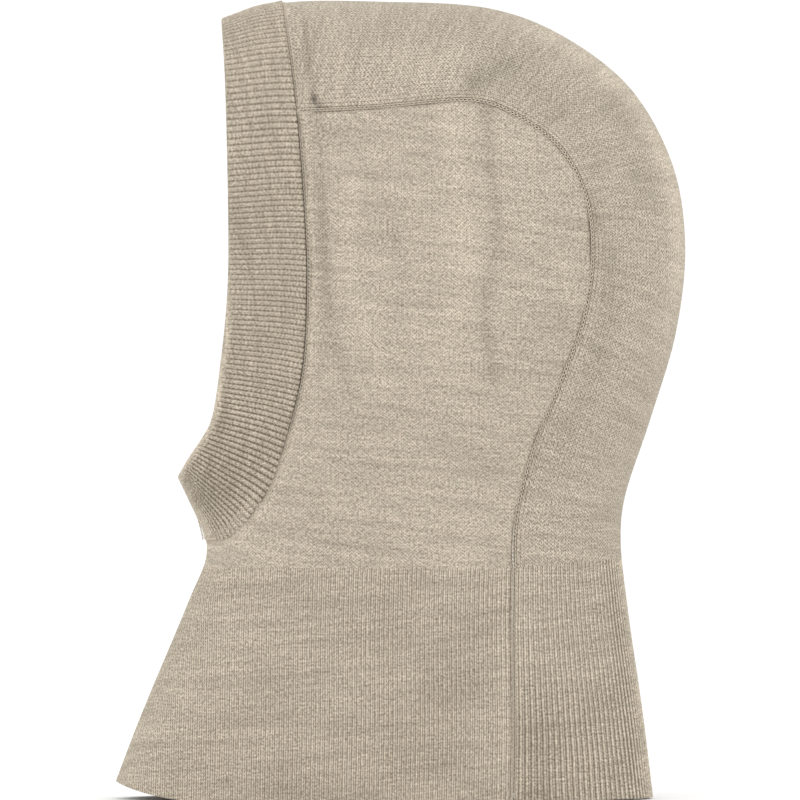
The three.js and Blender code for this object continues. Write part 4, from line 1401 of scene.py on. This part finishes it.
@dataclass
class NeckFront(RibbedPiece):
    """The ribbed sides and bib of the neck, with upright ribs that meet at the centre front."""

    pitch: float = 1.92
    samples: int = 6
    rows: int = 42
    thick: float = 2.1
    seam_gap: float = 0.62
    groove: float = 0.42
    sharpness: float = 1.4
    crowding: float = 0.35
    most_turned: float = 1.5
    wave: float = 0.3
    waves: Waves = (80.0, 60.0, 60.0)
    deep_waves: Waves = (60.0, 60.0, 40.0)
    cloud: Waves = (80.0, 60.0, 40.0)

    def _row(self, v: float) -> tuple[Array, Array]:
        """One course from the seam to the centre front.

        Args:
            v: 0 at the hem to 1 at the jersey.

        Returns:
            Close points over the shape and their distances from the seam.
        """
        hood = self.hood
        top, throat = hood.nape_length(-0.02), hood.throat_length(-0.02)
        front = hood.front.at(lerp(hood.front.length, throat, v))
        seam_low = hood.crown_seam(hood.back.length, self.seam_gap)
        seam = hood.crown_seam(lerp(hood.back.length, top, v), self.seam_gap)
        share = 1.0 - np.cos(np.linspace(1.0, 0.0, EDGE_POINTS) * math.pi / 2)

        def hem(u: Array) -> Array:
            y = lerp(hood.hem_front, seam_low[0], u)
            rise = np.maximum(0.0, 1.0 - (y - hood.hem_front) / hood.hem_lift_length)
            return np.stack([y, hood.hem_lift * rise**2], -1)

        joined = straight(hood.front.at(throat), hood.crown_seam(top, self.seam_gap))
        ends = np.array([0.0, 1.0])
        low, high = hem(ends), joined(ends)
        across = lerp(front, seam, share[:, None])
        upward = lerp(hem(share), joined(share), v)
        low_row, high_row = (lerp(row[0], row[1], share[:, None]) for row in (low, high))
        points = hood.on_shape(across + upward - lerp(low_row, high_row, v), 1.0)
        points[-1, 0] = 0.0
        return points, run_lengths(points)

    def build(self, tree: GeometryTree) -> bpy.types.Object:
        """Builds and dresses the panel on both sides of the middle plane.

        Args:
            tree: presses the grooves between the ribs.

        Returns:
            The finished piece.
        """
        hood = self.hood
        shares = 1.0 - crowded(self.rows, self.crowding)[::-1]
        courses = [self._row(float(v)) for v in shares]
        step = self.pitch / self.samples
        count = math.ceil(max(long[-1] for _, long in courses) / step) + 1
        count += (-count) % 3
        stops = np.arange(count + 1) * step
        half = np.stack([resampled(line, long, stops) for line, long in courses])
        ended = np.stack([stops >= long[-1] for _, long in courses])
        half[..., 0] = np.where(ended, 0.0, half[..., 0])
        from_seam = np.repeat(stops[None, :], len(shares), 0)
        from_front = np.stack([np.maximum(long[-1] - stops, 0.0) for _, long in courses])
        points = np.concatenate([half, (half * MIRROR)[:, -2::-1]], axis=1)
        from_seam = np.concatenate([from_seam, from_seam[:, -2::-1]], axis=1)
        from_front = np.concatenate([from_front, from_front[:, -2::-1]], axis=1)
        sign = np.concatenate([np.ones(count + 1), -np.ones(count)])
        points = points[:, ::-1]
        from_seam, from_front, sign = from_seam[:, ::-1], from_front[:, ::-1], sign[::-1]
        outward = hood.outward_level_at_hem(points)
        uv = np.stack([from_seam * sign, points[..., 2]], -1)
        layer = Layer.plain(points, outward, uv)
        sideways = np.maximum(np.abs(hood.outward(half)[..., 0]), 0.1)
        turned = np.clip(1.0 / sideways, 1.0, self.most_turned)
        phase = np.cumsum(step / (self.pitch * turned), axis=1) - step / self.pitch
        layer.phase = np.concatenate([phase, phase[:, -2::-1]], axis=1)[:, ::-1]
        layer.uv[..., 0] = layer.phase * self.pitch * sign
        deep = 0.8 + 0.3 * ripple(points, self.deep_waves, SEED + 7)
        layer.ribbed = np.clip(deep, 0.3, 1.4) * smoothstep(from_front, 0.3, 2.6)
        below_neck = hood.neck_height - points[..., 2]
        clear = smoothstep(from_front, 0.0, LEVEL_OUT) * smoothstep(below_neck, 0.0, LEVEL_OUT)
        layer.relief += self.wave * ripple(points, self.waves, SEED + 8) * clear
        layer.relief -= 0.3 * hump(from_seam, 0.0, 1.2)
        # painted shade in the seam's groove
        layer.shade -= 0.25 * hump(from_seam, 0.0, 0.9)
        # painted highlight on the raised seam allowance
        layer.shade += 0.13 * hump(from_seam, 4.0, 3.0)
        # painted highlight on the rolled centre-front edge
        layer.shade += 0.16 * (1.0 - smoothstep(from_front, 1.5, 5.0))
        # soft patches of painted shade
        layer.shade += 0.05 * ripple(points, self.cloud, SEED + 9)
        layer.shade += PALE_COURSE * hump(points[..., 2], hood.neck_height, 0.6)
        obj = KnitMesh.build("neck_front_panel", hood, layer, self.thick, (3, 3))
        return self.settle(self.grooved(obj, tree))


@dataclass
class NeckBack(RibbedPiece):
    """The ribbed back of the neck, whose ribs fan out towards the hem."""

    ribs: int = 31
    samples: int = 8
    rows: int = 50
    thick: float = 2.1
    seam_gap: float = 0.62
    groove: float = 0.6
    sharpness: float = 1.6
    crowding: float = 0.35
    wave: float = 0.3
    waves: Waves = (50.0, 50.0, 50.0)
    cloud: Waves = (60.0, 50.0, 40.0)

    def region(self, u: Array, v: Array) -> Array:
        """Side-view points for shares from the middle to the seam and from the hem up."""
        hood = self.hood
        top = hood.nape_length(-0.02)

        def outline(share: Array) -> Array:
            return hood.back.at(lerp(hood.back.length, top, share))

        def seam(share: Array) -> Array:
            return hood.crown_seam(lerp(hood.back.length, top, share), -self.seam_gap)

        ends = np.array([0.0, 1.0])
        edges = [straight(outline(ends)[k], seam(ends)[k]) for k in (0, 1)]
        return coons(outline, seam, edges[0], edges[1], u, v)

    def build(self, tree: GeometryTree) -> bpy.types.Object:
        """Builds and dresses the panel on both sides of the middle plane.

        Args:
            tree: presses the grooves between the ribs.

        Returns:
            The finished piece.
        """
        hood = self.hood
        v = (1.0 - crowded(self.rows, self.crowding)[::-1])[:, None]
        dense = 1.0 - np.cos(np.linspace(0.0, 1.0, 300) * math.pi / 2)
        fine = hood.on_shape(self.region(dense[None, :], v), 1.0)
        fine[:, 0, 0] = 0.0
        long = run_lengths(fine)
        count = self.ribs * self.samples
        share = np.linspace(0.0, 1.0, count + 1)
        half = np.stack([resampled(line, s, share * s[-1]) for s, line in zip(long, fine)])
        from_seam = (1.0 - share)[None, :] * long[:, -1:] + self.seam_gap
        points = np.concatenate([(half * MIRROR)[:, :0:-1], half], axis=1)
        from_seam = np.concatenate([from_seam[:, :0:-1], from_seam], axis=1)
        phase = np.concatenate([-share[:0:-1], share]) * self.ribs
        outward = hood.outward_level_at_hem(points)
        uv = np.stack([np.repeat(phase[None, :], len(v), 0), points[..., 2]], -1)
        layer = Layer.plain(points, outward, uv)
        layer.phase = uv[..., 0].copy()
        low = smoothstep(-points[..., 2], -75.0, -25.0)
        edge = hood.read(hood.back_depth, points[..., 1:])
        rear = 1.0 - smoothstep(edge, 3.0, 12.0)
        layer.ribbed = 0.5 + 0.45 * low + 0.55 * rear
        below_neck = hood.neck_height - points[..., 2]
        clear = smoothstep(edge, 0.0, LEVEL_OUT) * smoothstep(below_neck, 0.0, LEVEL_OUT)
        layer.relief += self.wave * ripple(points, self.waves, SEED + 12) * clear
        layer.relief -= 0.3 * hump(from_seam, 0.0, 1.0)
        # painted highlight on the seam's raised edge
        layer.shade += 0.14 * hump(from_seam, 1.6, 0.7)
        # painted shade beside it, lower down
        layer.shade -= 0.16 * hump(from_seam, 11.0, 9.0) * low
        # soft patches of painted shade
        layer.shade += 0.05 * ripple(points, self.cloud, SEED + 13)
        layer.shade += PALE_COURSE * hump(points[..., 2] - hood.neck_height, 3.0, 0.6)
        obj = KnitMesh.build("neck_back_panel", hood, layer, self.thick, (2, 2))
        return self.settle(self.grooved(obj, tree))


@dataclass
class FaceBand(RibbedPiece):
    """The doubled ribbed band round the face opening, folded at its free edge."""

    pitches: tuple[tuple[float, float], ...] = (
        (0, 3.0),
        (0.15, 3.0),
        (0.22, 2.78),
        (0.31, 2.43),
        (0.41, 2.32),
        (0.68, 2.32),
        (0.85, 3.1),
        (1, 3.1),
    )
    samples: int = 9
    groove: float = 0.44
    sharpness: float = 2.6
    cloud: Waves = (50.0, 40.0, 40.0)
    ply: float = 1.4
    slack: float = 0.55
    jersey: float = 1.6
    fold_radius: float = 1.35
    fold_steps: int = 8
    ply_steps: int = 15
    end_stations: int = 24
    end_gap: float = 0.35
    matches: tuple[tuple[float, float], ...] = (
        (0, 0),
        (0.1, 0.1),
        (0.19, 0.205),
        (0.33, 0.378),
        (0.6, 0.685),
        (0.72, 0.815),
        (0.83, 0.915),
        (0.92, 0.975),
        (1, 1),
    )

    def stations(self) -> tuple[Array, Array, Array]:
        """Stations a ninth of a rib apart, from the left chin over the brow to the right.

        Returns:
            Shares along the seam, the side as a sign, and the count of ribs from the brow.
        """
        hood = self.hood
        fine = np.sin(np.linspace(0.0, 1.0, 900) * math.pi / 2) ** 2
        path = hood.on_shape(hood.band_point(fine, 1.0), 1.0)
        path[0, 0] = 0.0
        steps = np.linalg.norm(np.diff(path, axis=0), axis=-1)
        wide = np.interp(fine[1:], *np.array(self.pitches, float).T)
        ribs = np.concatenate([[0.0], np.cumsum(steps / wide)])
        count = round(ribs[-1]) * self.samples
        along = np.interp(np.linspace(0.0, ribs[-1], count + 1), ribs, fine)
        shares = np.concatenate([along[::-1], along[1:]])
        sign = np.concatenate([np.ones(count + 1), -np.ones(count)])
        phase = np.concatenate([-np.arange(count, -1, -1), np.arange(1, count + 1)]) / self.samples
        return shares, sign, phase

    def section(self) -> tuple[Array, Array, Array]:
        """The band's section from the seam over the outer ply, round the fold and back inside.

        Returns:
            Shares across, heights over the filled shape, and how far each is ribbed.
        """
        middle, ply, wide = -self.jersey / 2, self.ply, self.hood.band_width
        outer_end = self.slack + ply
        inner_end = -self.jersey - self.slack
        fold = self.fold_radius / wide
        rows = [(0.87, self.slack, 0.0), (0.995, self.slack, 0.0), (1.012, self.slack + 0.5, 0.6)]
        rows += [(1.008, outer_end - 0.25, 1.2), (0.99, outer_end + 0.12, 1.3)]
        for share in np.linspace(0.955, fold, self.ply_steps):
            rows.append((share, float(lerp(middle + ply, outer_end, share)), 1.0))
        for turn in np.linspace(0.0, math.pi, self.fold_steps + 2)[1:-1]:
            share = fold - self.fold_radius * math.sin(turn) / wide
            rows.append((share, middle + ply * math.cos(turn), 0.75))
        for share in np.linspace(fold, 1.0, 8):
            rows.append((share, float(lerp(middle - ply, inner_end - ply, share)), 0.85))
        rows += [(1.005, inner_end - 0.4, 0.0), (0.99, inner_end, 0.0), (0.87, inner_end, 0.0)]
        across, height, ribbed = (np.array(column, float) for column in zip(*rows))
        return across, height, ribbed

    def build(self, tree: GeometryTree) -> bpy.types.Object:
        """Builds and dresses the band.

        Args:
            tree: presses the grooves between the ribs.

        Returns:
            The finished piece.
        """
        hood = self.hood
        along, sign, phase = self.stations()
        across, height, ribbed = self.section()
        pairs = Outline(list(self.matches), 40).points
        free_along = np.interp(along, pairs[:, 0], pairs[:, 1])
        inside = np.clip(across, 0.0, None)
        flat = hood.band_point(along[None, :], inside[:, None], free_along[None, :])
        points = hood.on_shape(flat, sign[None, :])
        left, right = slice(None, self.end_stations), slice(-self.end_stations, None)
        points[:, left, 0] = np.maximum(points[:, left, 0], self.end_gap)
        points[:, right, 0] = np.minimum(points[:, right, 0], -self.end_gap)
        outward = hood.outward(points)
        spread = np.minimum(across, 0.0)[:, None, None] * hood.band_width
        edge, inland = (hood.band_point(along, share, free_along) for share in (0.0, 0.3))
        away = unit(edge - inland)
        points[..., 1:] -= spread * away[None]
        bumps = lerp(0.15, 0.4, smoothstep(along, 0.6, 0.85)) * np.cos(2.0 * np.pi * phase)
        scallop = bumps[None, :] * smoothstep(across, 0.9, 0.99)[:, None]
        points[..., 1:] -= (scallop * (height > 0)[:, None])[..., None] * away[None]
        points += outward * self._stand(along, across, height)[..., None]
        down = np.repeat(across[:, None] * hood.band_width, len(along), 1)
        uv = np.stack([np.repeat(phase[None, :], len(across), 0), down], -1)
        ring = {
            "rib_phase": uv[..., 0],
            "rib_share": self._strength(along, across, ribbed),
            "shade": self._shade(points, along, across, height),
        }
        facing = np.sign(height + self.jersey / 2)[:, None, None]
        obj = self._ring_mesh(points, outward * facing, uv, ring)
        return self.settle(self.grooved(obj, tree))

    def _stand(self, along: Array, across: Array, height: Array) -> Array:
        """Heights over the filled shape: the outer ply's end lies flatter round the chin."""
        where = 1.3 * smoothstep(along, 0.72, 0.92) + 0.8 * (1.0 - smoothstep(along, 0.02, 0.12))
        sunk = where[None, :] * smoothstep(across, 0.5, 0.95)[:, None]
        return np.maximum(height[:, None] - sunk, np.minimum(height[:, None], 0.1))

    @staticmethod
    def _rolled(along: Array, across: Array) -> Array:
        """1 on the plain rolled strip along the lower free edge and the chin's front."""
        strip = 1.0 - smoothstep(across, 0.045, 0.085)
        edge = smoothstep(along, 0.46, 0.56)[None, :] * strip[:, None]
        return np.maximum(edge, 0.8 * smoothstep(along, 0.975, 0.99)[None, :])

    def _strength(self, along: Array, across: Array, ribbed: Array) -> Array:
        """How deep the ribs are at each point: smooth along the rolled strip."""
        deeper = 1.0 + 0.5 * smoothstep(along, 0.6, 0.85)[None, :]
        return ribbed[:, None] * deeper * (1.0 - 0.85 * self._rolled(along, across))

    def _shade(self, points: Array, along: Array, across: Array, height: Array) -> Array:
        """Painted highlight on the rolled strip, painted shade under the outer ply's end, darker
        chin, soft shade patches.
        """
        weak = 1.0 - 0.7 * smoothstep(along, 0.7, 0.9)[None, :]
        # painted shade where the outer ply's end covers the band
        hidden = ((across > 0.99) & (height < 1.2))[:, None] * weak
        chin = smoothstep(along, 0.74, 0.9)[None, :] * hump(across, 0.42, 0.3)[:, None]
        soft = 0.05 * ripple(points, self.cloud, SEED + 14)
        rolled = self._rolled(along, across) * (height > -self.jersey)[:, None]
        return 0.07 + 0.34 * rolled - 0.5 * hidden - 0.2 * chin + soft

    def _ring_mesh(
        self, points: Array, outward: Array, uv: Array, values: dict[str, Array]
    ) -> bpy.types.Object:
        """Closes the section's rows into a ring and caps its two ends."""
        rows, columns = points.shape[:2]
        index = np.arange(rows * columns).reshape(rows, columns)
        index = np.vstack([index, index[:1]])
        faces = grid_quads(index)
        faces += [tuple(index[:-1, 0].tolist()), tuple(index[:-1, -1][::-1].tolist())]
        size = (rows, columns)
        flat_values = {key: np.broadcast_to(value, size).ravel() for key, value in values.items()}
        placed = self.hood.to_frame(points.reshape(-1, 3))
        outward, uv = outward.reshape(-1, 3), uv.reshape(-1, 2)
        return KnitMesh.finish("face_band_rib", placed, faces, flat_values, outward, uv)


@dataclass
class LoopChain(Piece):
    """A chain of yarn loops along a seam."""

    name: str = "chain"
    loop_pitch: float = 1.75
    loop_length: float = 1.7
    loop_width: float = 1.15
    radius: float = 0.25
    lean: float = 0.18

    def build(self, tree: GeometryTree, paths: list[tuple[Array, Array]]) -> bpy.types.Object:
        """Lays the loops along paths.

        Args:
            tree: makes the loops.
            paths: points in millimetres and outward directions of each path.

        Returns:
            The finished piece.
        """
        mesh = bpy.data.meshes.new(self.name)
        points = np.vstack([path for path, _ in paths])
        starts = np.cumsum([0] + [len(path) for path, _ in paths])
        edges = [(k, k + 1) for a, b in zip(starts, starts[1:]) for k in range(a, b - 1)]
        mesh.from_pydata(self.hood.to_frame(points).tolist(), edges, [])
        arrows = mesh.attributes.new("outward", "FLOAT_VECTOR", "POINT")
        outward = np.vstack([out for _, out in paths]).astype(np.float32)
        arrows.data.foreach_set("vector", outward.ravel())
        obj = bpy.data.objects.new(self.name, mesh)
        bpy.context.scene.collection.objects.link(obj)
        values = {
            "Loop Pitch": self.loop_pitch * MM,
            "Loop Length": self.loop_length * MM,
            "Loop Width": self.loop_width * MM,
            "Thread Radius": self.radius * MM,
            "Lean": self.lean,
            "Material": self.material,
        }
        return self.settle(tree.apply(obj, values))


def crown_path(hood: Hood, side: Side, height: float = 0.14) -> list[tuple[Array, Array]]:
    """The crown seam's path from the band to the hem.

    Args:
        hood: the filled shape.
        side: the wearer's side.
        height: how far the path is outside the shape.

    Returns:
        One path of points and outward directions.
    """
    start = hood.brow_corner(0.0)[1] + 1.5
    flat = hood.crown_seam(np.linspace(start, hood.back.length - 0.8, 700), 0.0)
    points = hood.on_shape(flat, side.value)
    outward = hood.outward(points)
    return [(points + outward * height, outward)]


def band_path(hood: Hood, width: float = 1.5, height: float = 0.25) -> list[tuple[Array, Array]]:
    """The path beside the band's seam, from the chin on one side over the brow to the other.

    Args:
        hood: the filled shape.
        width: how far the path is past the band's end.
        height: how far the path is outside the shape.

    Returns:
        One path of points and outward directions.
    """
    turn = np.linspace(0.004, 1.996, 1100)
    along = (1.0 + np.cos(np.pi * turn)) / 2
    flat = hood.band_point(along, 1.0 + width / hood.band_width)
    points = hood.on_shape(flat, np.sign(np.sin(np.pi * turn)))
    outward = hood.outward(points)
    brow = 1.0 - smoothstep(along, 0.02, 0.12)
    sunk = height - 0.45 * smoothstep(along, 0.68, 0.85) - 0.3 * brow
    return [(points + outward * sunk[:, None], outward)]


def join_path(hood: Hood) -> list[tuple[Array, Array]]:
    """The short seam under the chin that closes the band, on its outer ply."""
    flat = hood.band_point(np.ones(40), np.linspace(0.04, 0.97, 40))
    points = hood.on_shape(flat, 0.0)
    beside = hood.on_shape(flat, 1.0) * np.array([0.0, 1.0, 1.0]) + np.array([0.02, 0, 0])
    outward = hood.outward(beside)
    height = np.linspace(0.3, 1.3, 40)[:, None]
    return [(points + outward * height, outward)]


@dataclass
class CareLabel(Piece):
    """A blank satin label, folded at its lower end and sewn inside the neck."""

    wide: float = 14.0
    long: float = 26.0
    thick: float = 0.16
    back_of_rib: float = 2.55

    def build(self, neck: NeckBack) -> bpy.types.Object:
        """Builds the two leaves and the fold between them.

        Args:
            neck: the panel that the label hangs inside.

        Returns:
            The finished piece.
        """
        hood = self.hood
        wide = self.wide / (1.2 * hood.crown_nape)
        across = np.linspace(0.9 - wide, 0.9, 19)[None, :]
        leaf = np.linspace(0.0, 1.0, 22)
        low, tall = 0.5, self.long / hood.neck_height
        rows, depths = [], []
        for share in leaf:
            rows.append(low + tall * (1.0 - share))
            depths.append(self.back_of_rib + 0.25 * share)
        for turn in np.linspace(0.0, math.pi, 7)[1:-1]:
            rows.append(low - 0.004 * math.sin(turn))
            depths.append(self.back_of_rib + 0.42 - 0.17 * math.cos(turn))
        for share in leaf:
            rows.append(low + tall * share)
            depths.append(self.back_of_rib + 0.6 - 0.25 * share)
        flat = neck.region(across, np.array(rows)[:, None])
        points = hood.on_shape(flat, 1.0)
        outward = hood.outward(points)
        points = points - outward * np.array(depths)[:, None, None]
        curl = 0.12 * np.sin(np.linspace(0.0, 3.0, len(rows)))[:, None]
        points = points - outward * curl[..., None]
        down = np.linspace(0.0, 2.0 * self.long, len(rows))
        uv = np.stack(np.broadcast_arrays((across * hood.crown_nape), down[:, None]), -1)
        layer = Layer.plain(points, -outward, uv)
        obj = KnitMesh.build("care_label_satin", hood, layer, self.thick, (1, 1))
        return self.settle(obj)


@dataclass(frozen=True)
class Lamp:
    """A square soft light."""

    name: str
    spot: tuple[float, float, float]
    size: float
    power: float


@dataclass
class Studio:
    """The pale floor, the even soft light and the camera at the wearer's left."""

    floor_size: float = 6.0
    floor_gap: float = 0.0006
    daylight: float = 1.06
    lamps: tuple[Lamp, ...] = (
        Lamp("key", (1.3, -1.1, 1.1), 1.6, 7.0),
        Lamp("fill", (1.4, 1.3, 0.5), 1.8, 3.5),
        Lamp("top", (0.1, -0.1, 1.7), 1.6, 2.5),
        Lamp("far", (-1.5, 0.2, 0.8), 1.8, 4.0),
    )
    far_clip: float = 40.0
    sensor: float = 36.0
    view_height: float = 0.344
    lens: float = 600.0
    centre: tuple[float, float, float] = (0.0, -0.0053, -0.1694)

    def build(self) -> None:
        """Makes the floor, the backdrop, the lights and the camera."""
        low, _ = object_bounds()
        self._floor(float(low[2]) - self.floor_gap)
        world = bpy.data.worlds.new("studio")
        world.use_nodes = True
        world.node_tree.nodes["Background"].inputs[0].default_value = (1.0, 1.0, 1.0, 1.0)
        world.node_tree.nodes["Background"].inputs[1].default_value = self.daylight
        bpy.context.scene.world = world
        bpy.context.scene.view_settings.view_transform = ViewTransform.STANDARD.value
        for lamp in self.lamps:
            self._light(lamp)
        self._camera()

    def _floor(self, height: float) -> None:
        """A square of studio paper under the hood."""
        mesh = bpy.data.meshes.new("floor")
        half = self.floor_size / 2
        corners = [(-half, -half, 0), (half, -half, 0), (half, half, 0), (-half, half, 0)]
        mesh.from_pydata(corners, [], [(0, 1, 2, 3)])
        obj = bpy.data.objects.new("floor", mesh)
        obj.location = (0.0, 0.0, height)
        mesh.materials.append(PaperFinish().material())
        bpy.context.scene.collection.objects.link(obj)
        obj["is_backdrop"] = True

    def _light(self, lamp: Lamp) -> None:
        """Puts up a light that faces the hood."""
        data = bpy.data.lights.new(lamp.name, "AREA")
        data.shape, data.size, data.energy = "SQUARE", lamp.size, lamp.power
        obj = bpy.data.objects.new(lamp.name, data)
        obj.location = lamp.spot
        aim = Vector(self.centre) - Vector(lamp.spot)
        obj.rotation_euler = aim.to_track_quat("-Z", "Y").to_euler()
        bpy.context.scene.collection.objects.link(obj)

    def _camera(self) -> None:
        """A long lens, level with the middle of the hood, square to its left side."""
        data = bpy.data.cameras.new("camera")
        data.lens, data.sensor_width = self.lens, self.sensor
        distance = self.view_height * self.lens / data.sensor_width
        obj = bpy.data.objects.new("camera", data)
        obj.location = Vector(self.centre) + Vector((distance, 0.0, 0.0))
        obj.rotation_euler = (math.pi / 2, 0.0, math.pi / 2)
        data.clip_end = self.far_clip
        bpy.context.scene.collection.objects.link(obj)
        bpy.context.scene.camera = obj


def main() -> None:
    """Builds each sub-assembly in order and reports it."""
    logging.basicConfig(level=logging.INFO, format="%(message)s")
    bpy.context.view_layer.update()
    hood = Hood()
    LOG.info("hood shape ready")
    Studio().build()
    jersey = KnitFinish("jersey_knit").material()
    crown = KnitFinish("crown_jersey_knit", wale=1.85, course=1.4, gap=0.7).material()
    ribbed = {"gap": 1.0, "gap_power": 1.7, "heart": 0.0, "chevron": 0.3, "contrast": (0.5, 1.55)}
    rib = KnitFinish("rib_knit", wale=0.96, groove_shade=0.6, **ribbed).material()
    ribbed_by_count = ribbed | {"wale": 0.5, "u_length": 2.2}
    nape = KnitFinish("nape_rib_knit", groove_shade=0.75, **ribbed_by_count).material()
    band = KnitFinish("band_rib_knit", wale=0.5, u_length=2.5, gap=0.75, groove_shade=1.0).material()
    yarn = ThreadFinish().material()
    satin = SatinFinish().material()
    ribs, loops = rib_tree(), loop_tree()
    courses = Courses(hood)
    for side in Side:
        node = f"side_panel_{side.name.lower()}"
        SidePanel(hood, node, jersey, "jersey", (0.15, 0.20), 0.0235, side=side).build(courses)
    CrownStrip(hood, "crown_strip", crown, "jersey", (0.12, 0.40)).build()
    NeckFront(hood, "neck_rib_front", rib, "rib", (0.36, 0.10)).build(ribs)
    neck = NeckBack(hood, "neck_rib_back", nape, "rib", (0.12, 0.10))
    neck.build(ribs)
    FaceBand(hood, "face_band", band, "rib", (0.50, 0.065)).build(ribs)
    seams = [
        ("crown_seam_left", "crown_seam_left_loops", crown_path(hood, Side.LEFT)),
        ("crown_seam_right", "crown_seam_right_loops", crown_path(hood, Side.RIGHT)),
        ("face_band_chain", "face_band_loops", band_path(hood)),
        ("face_band_join", "face_band_join_loops", join_path(hood)),
    ]
    for node, name, path in seams:
        LoopChain(hood, node, yarn, "linking_thread", name=name).build(loops, path)
    CareLabel(hood, "care_label", satin, "label", (0.014, 0.052)).build(neck)


if __name__ == "__main__":
    main()
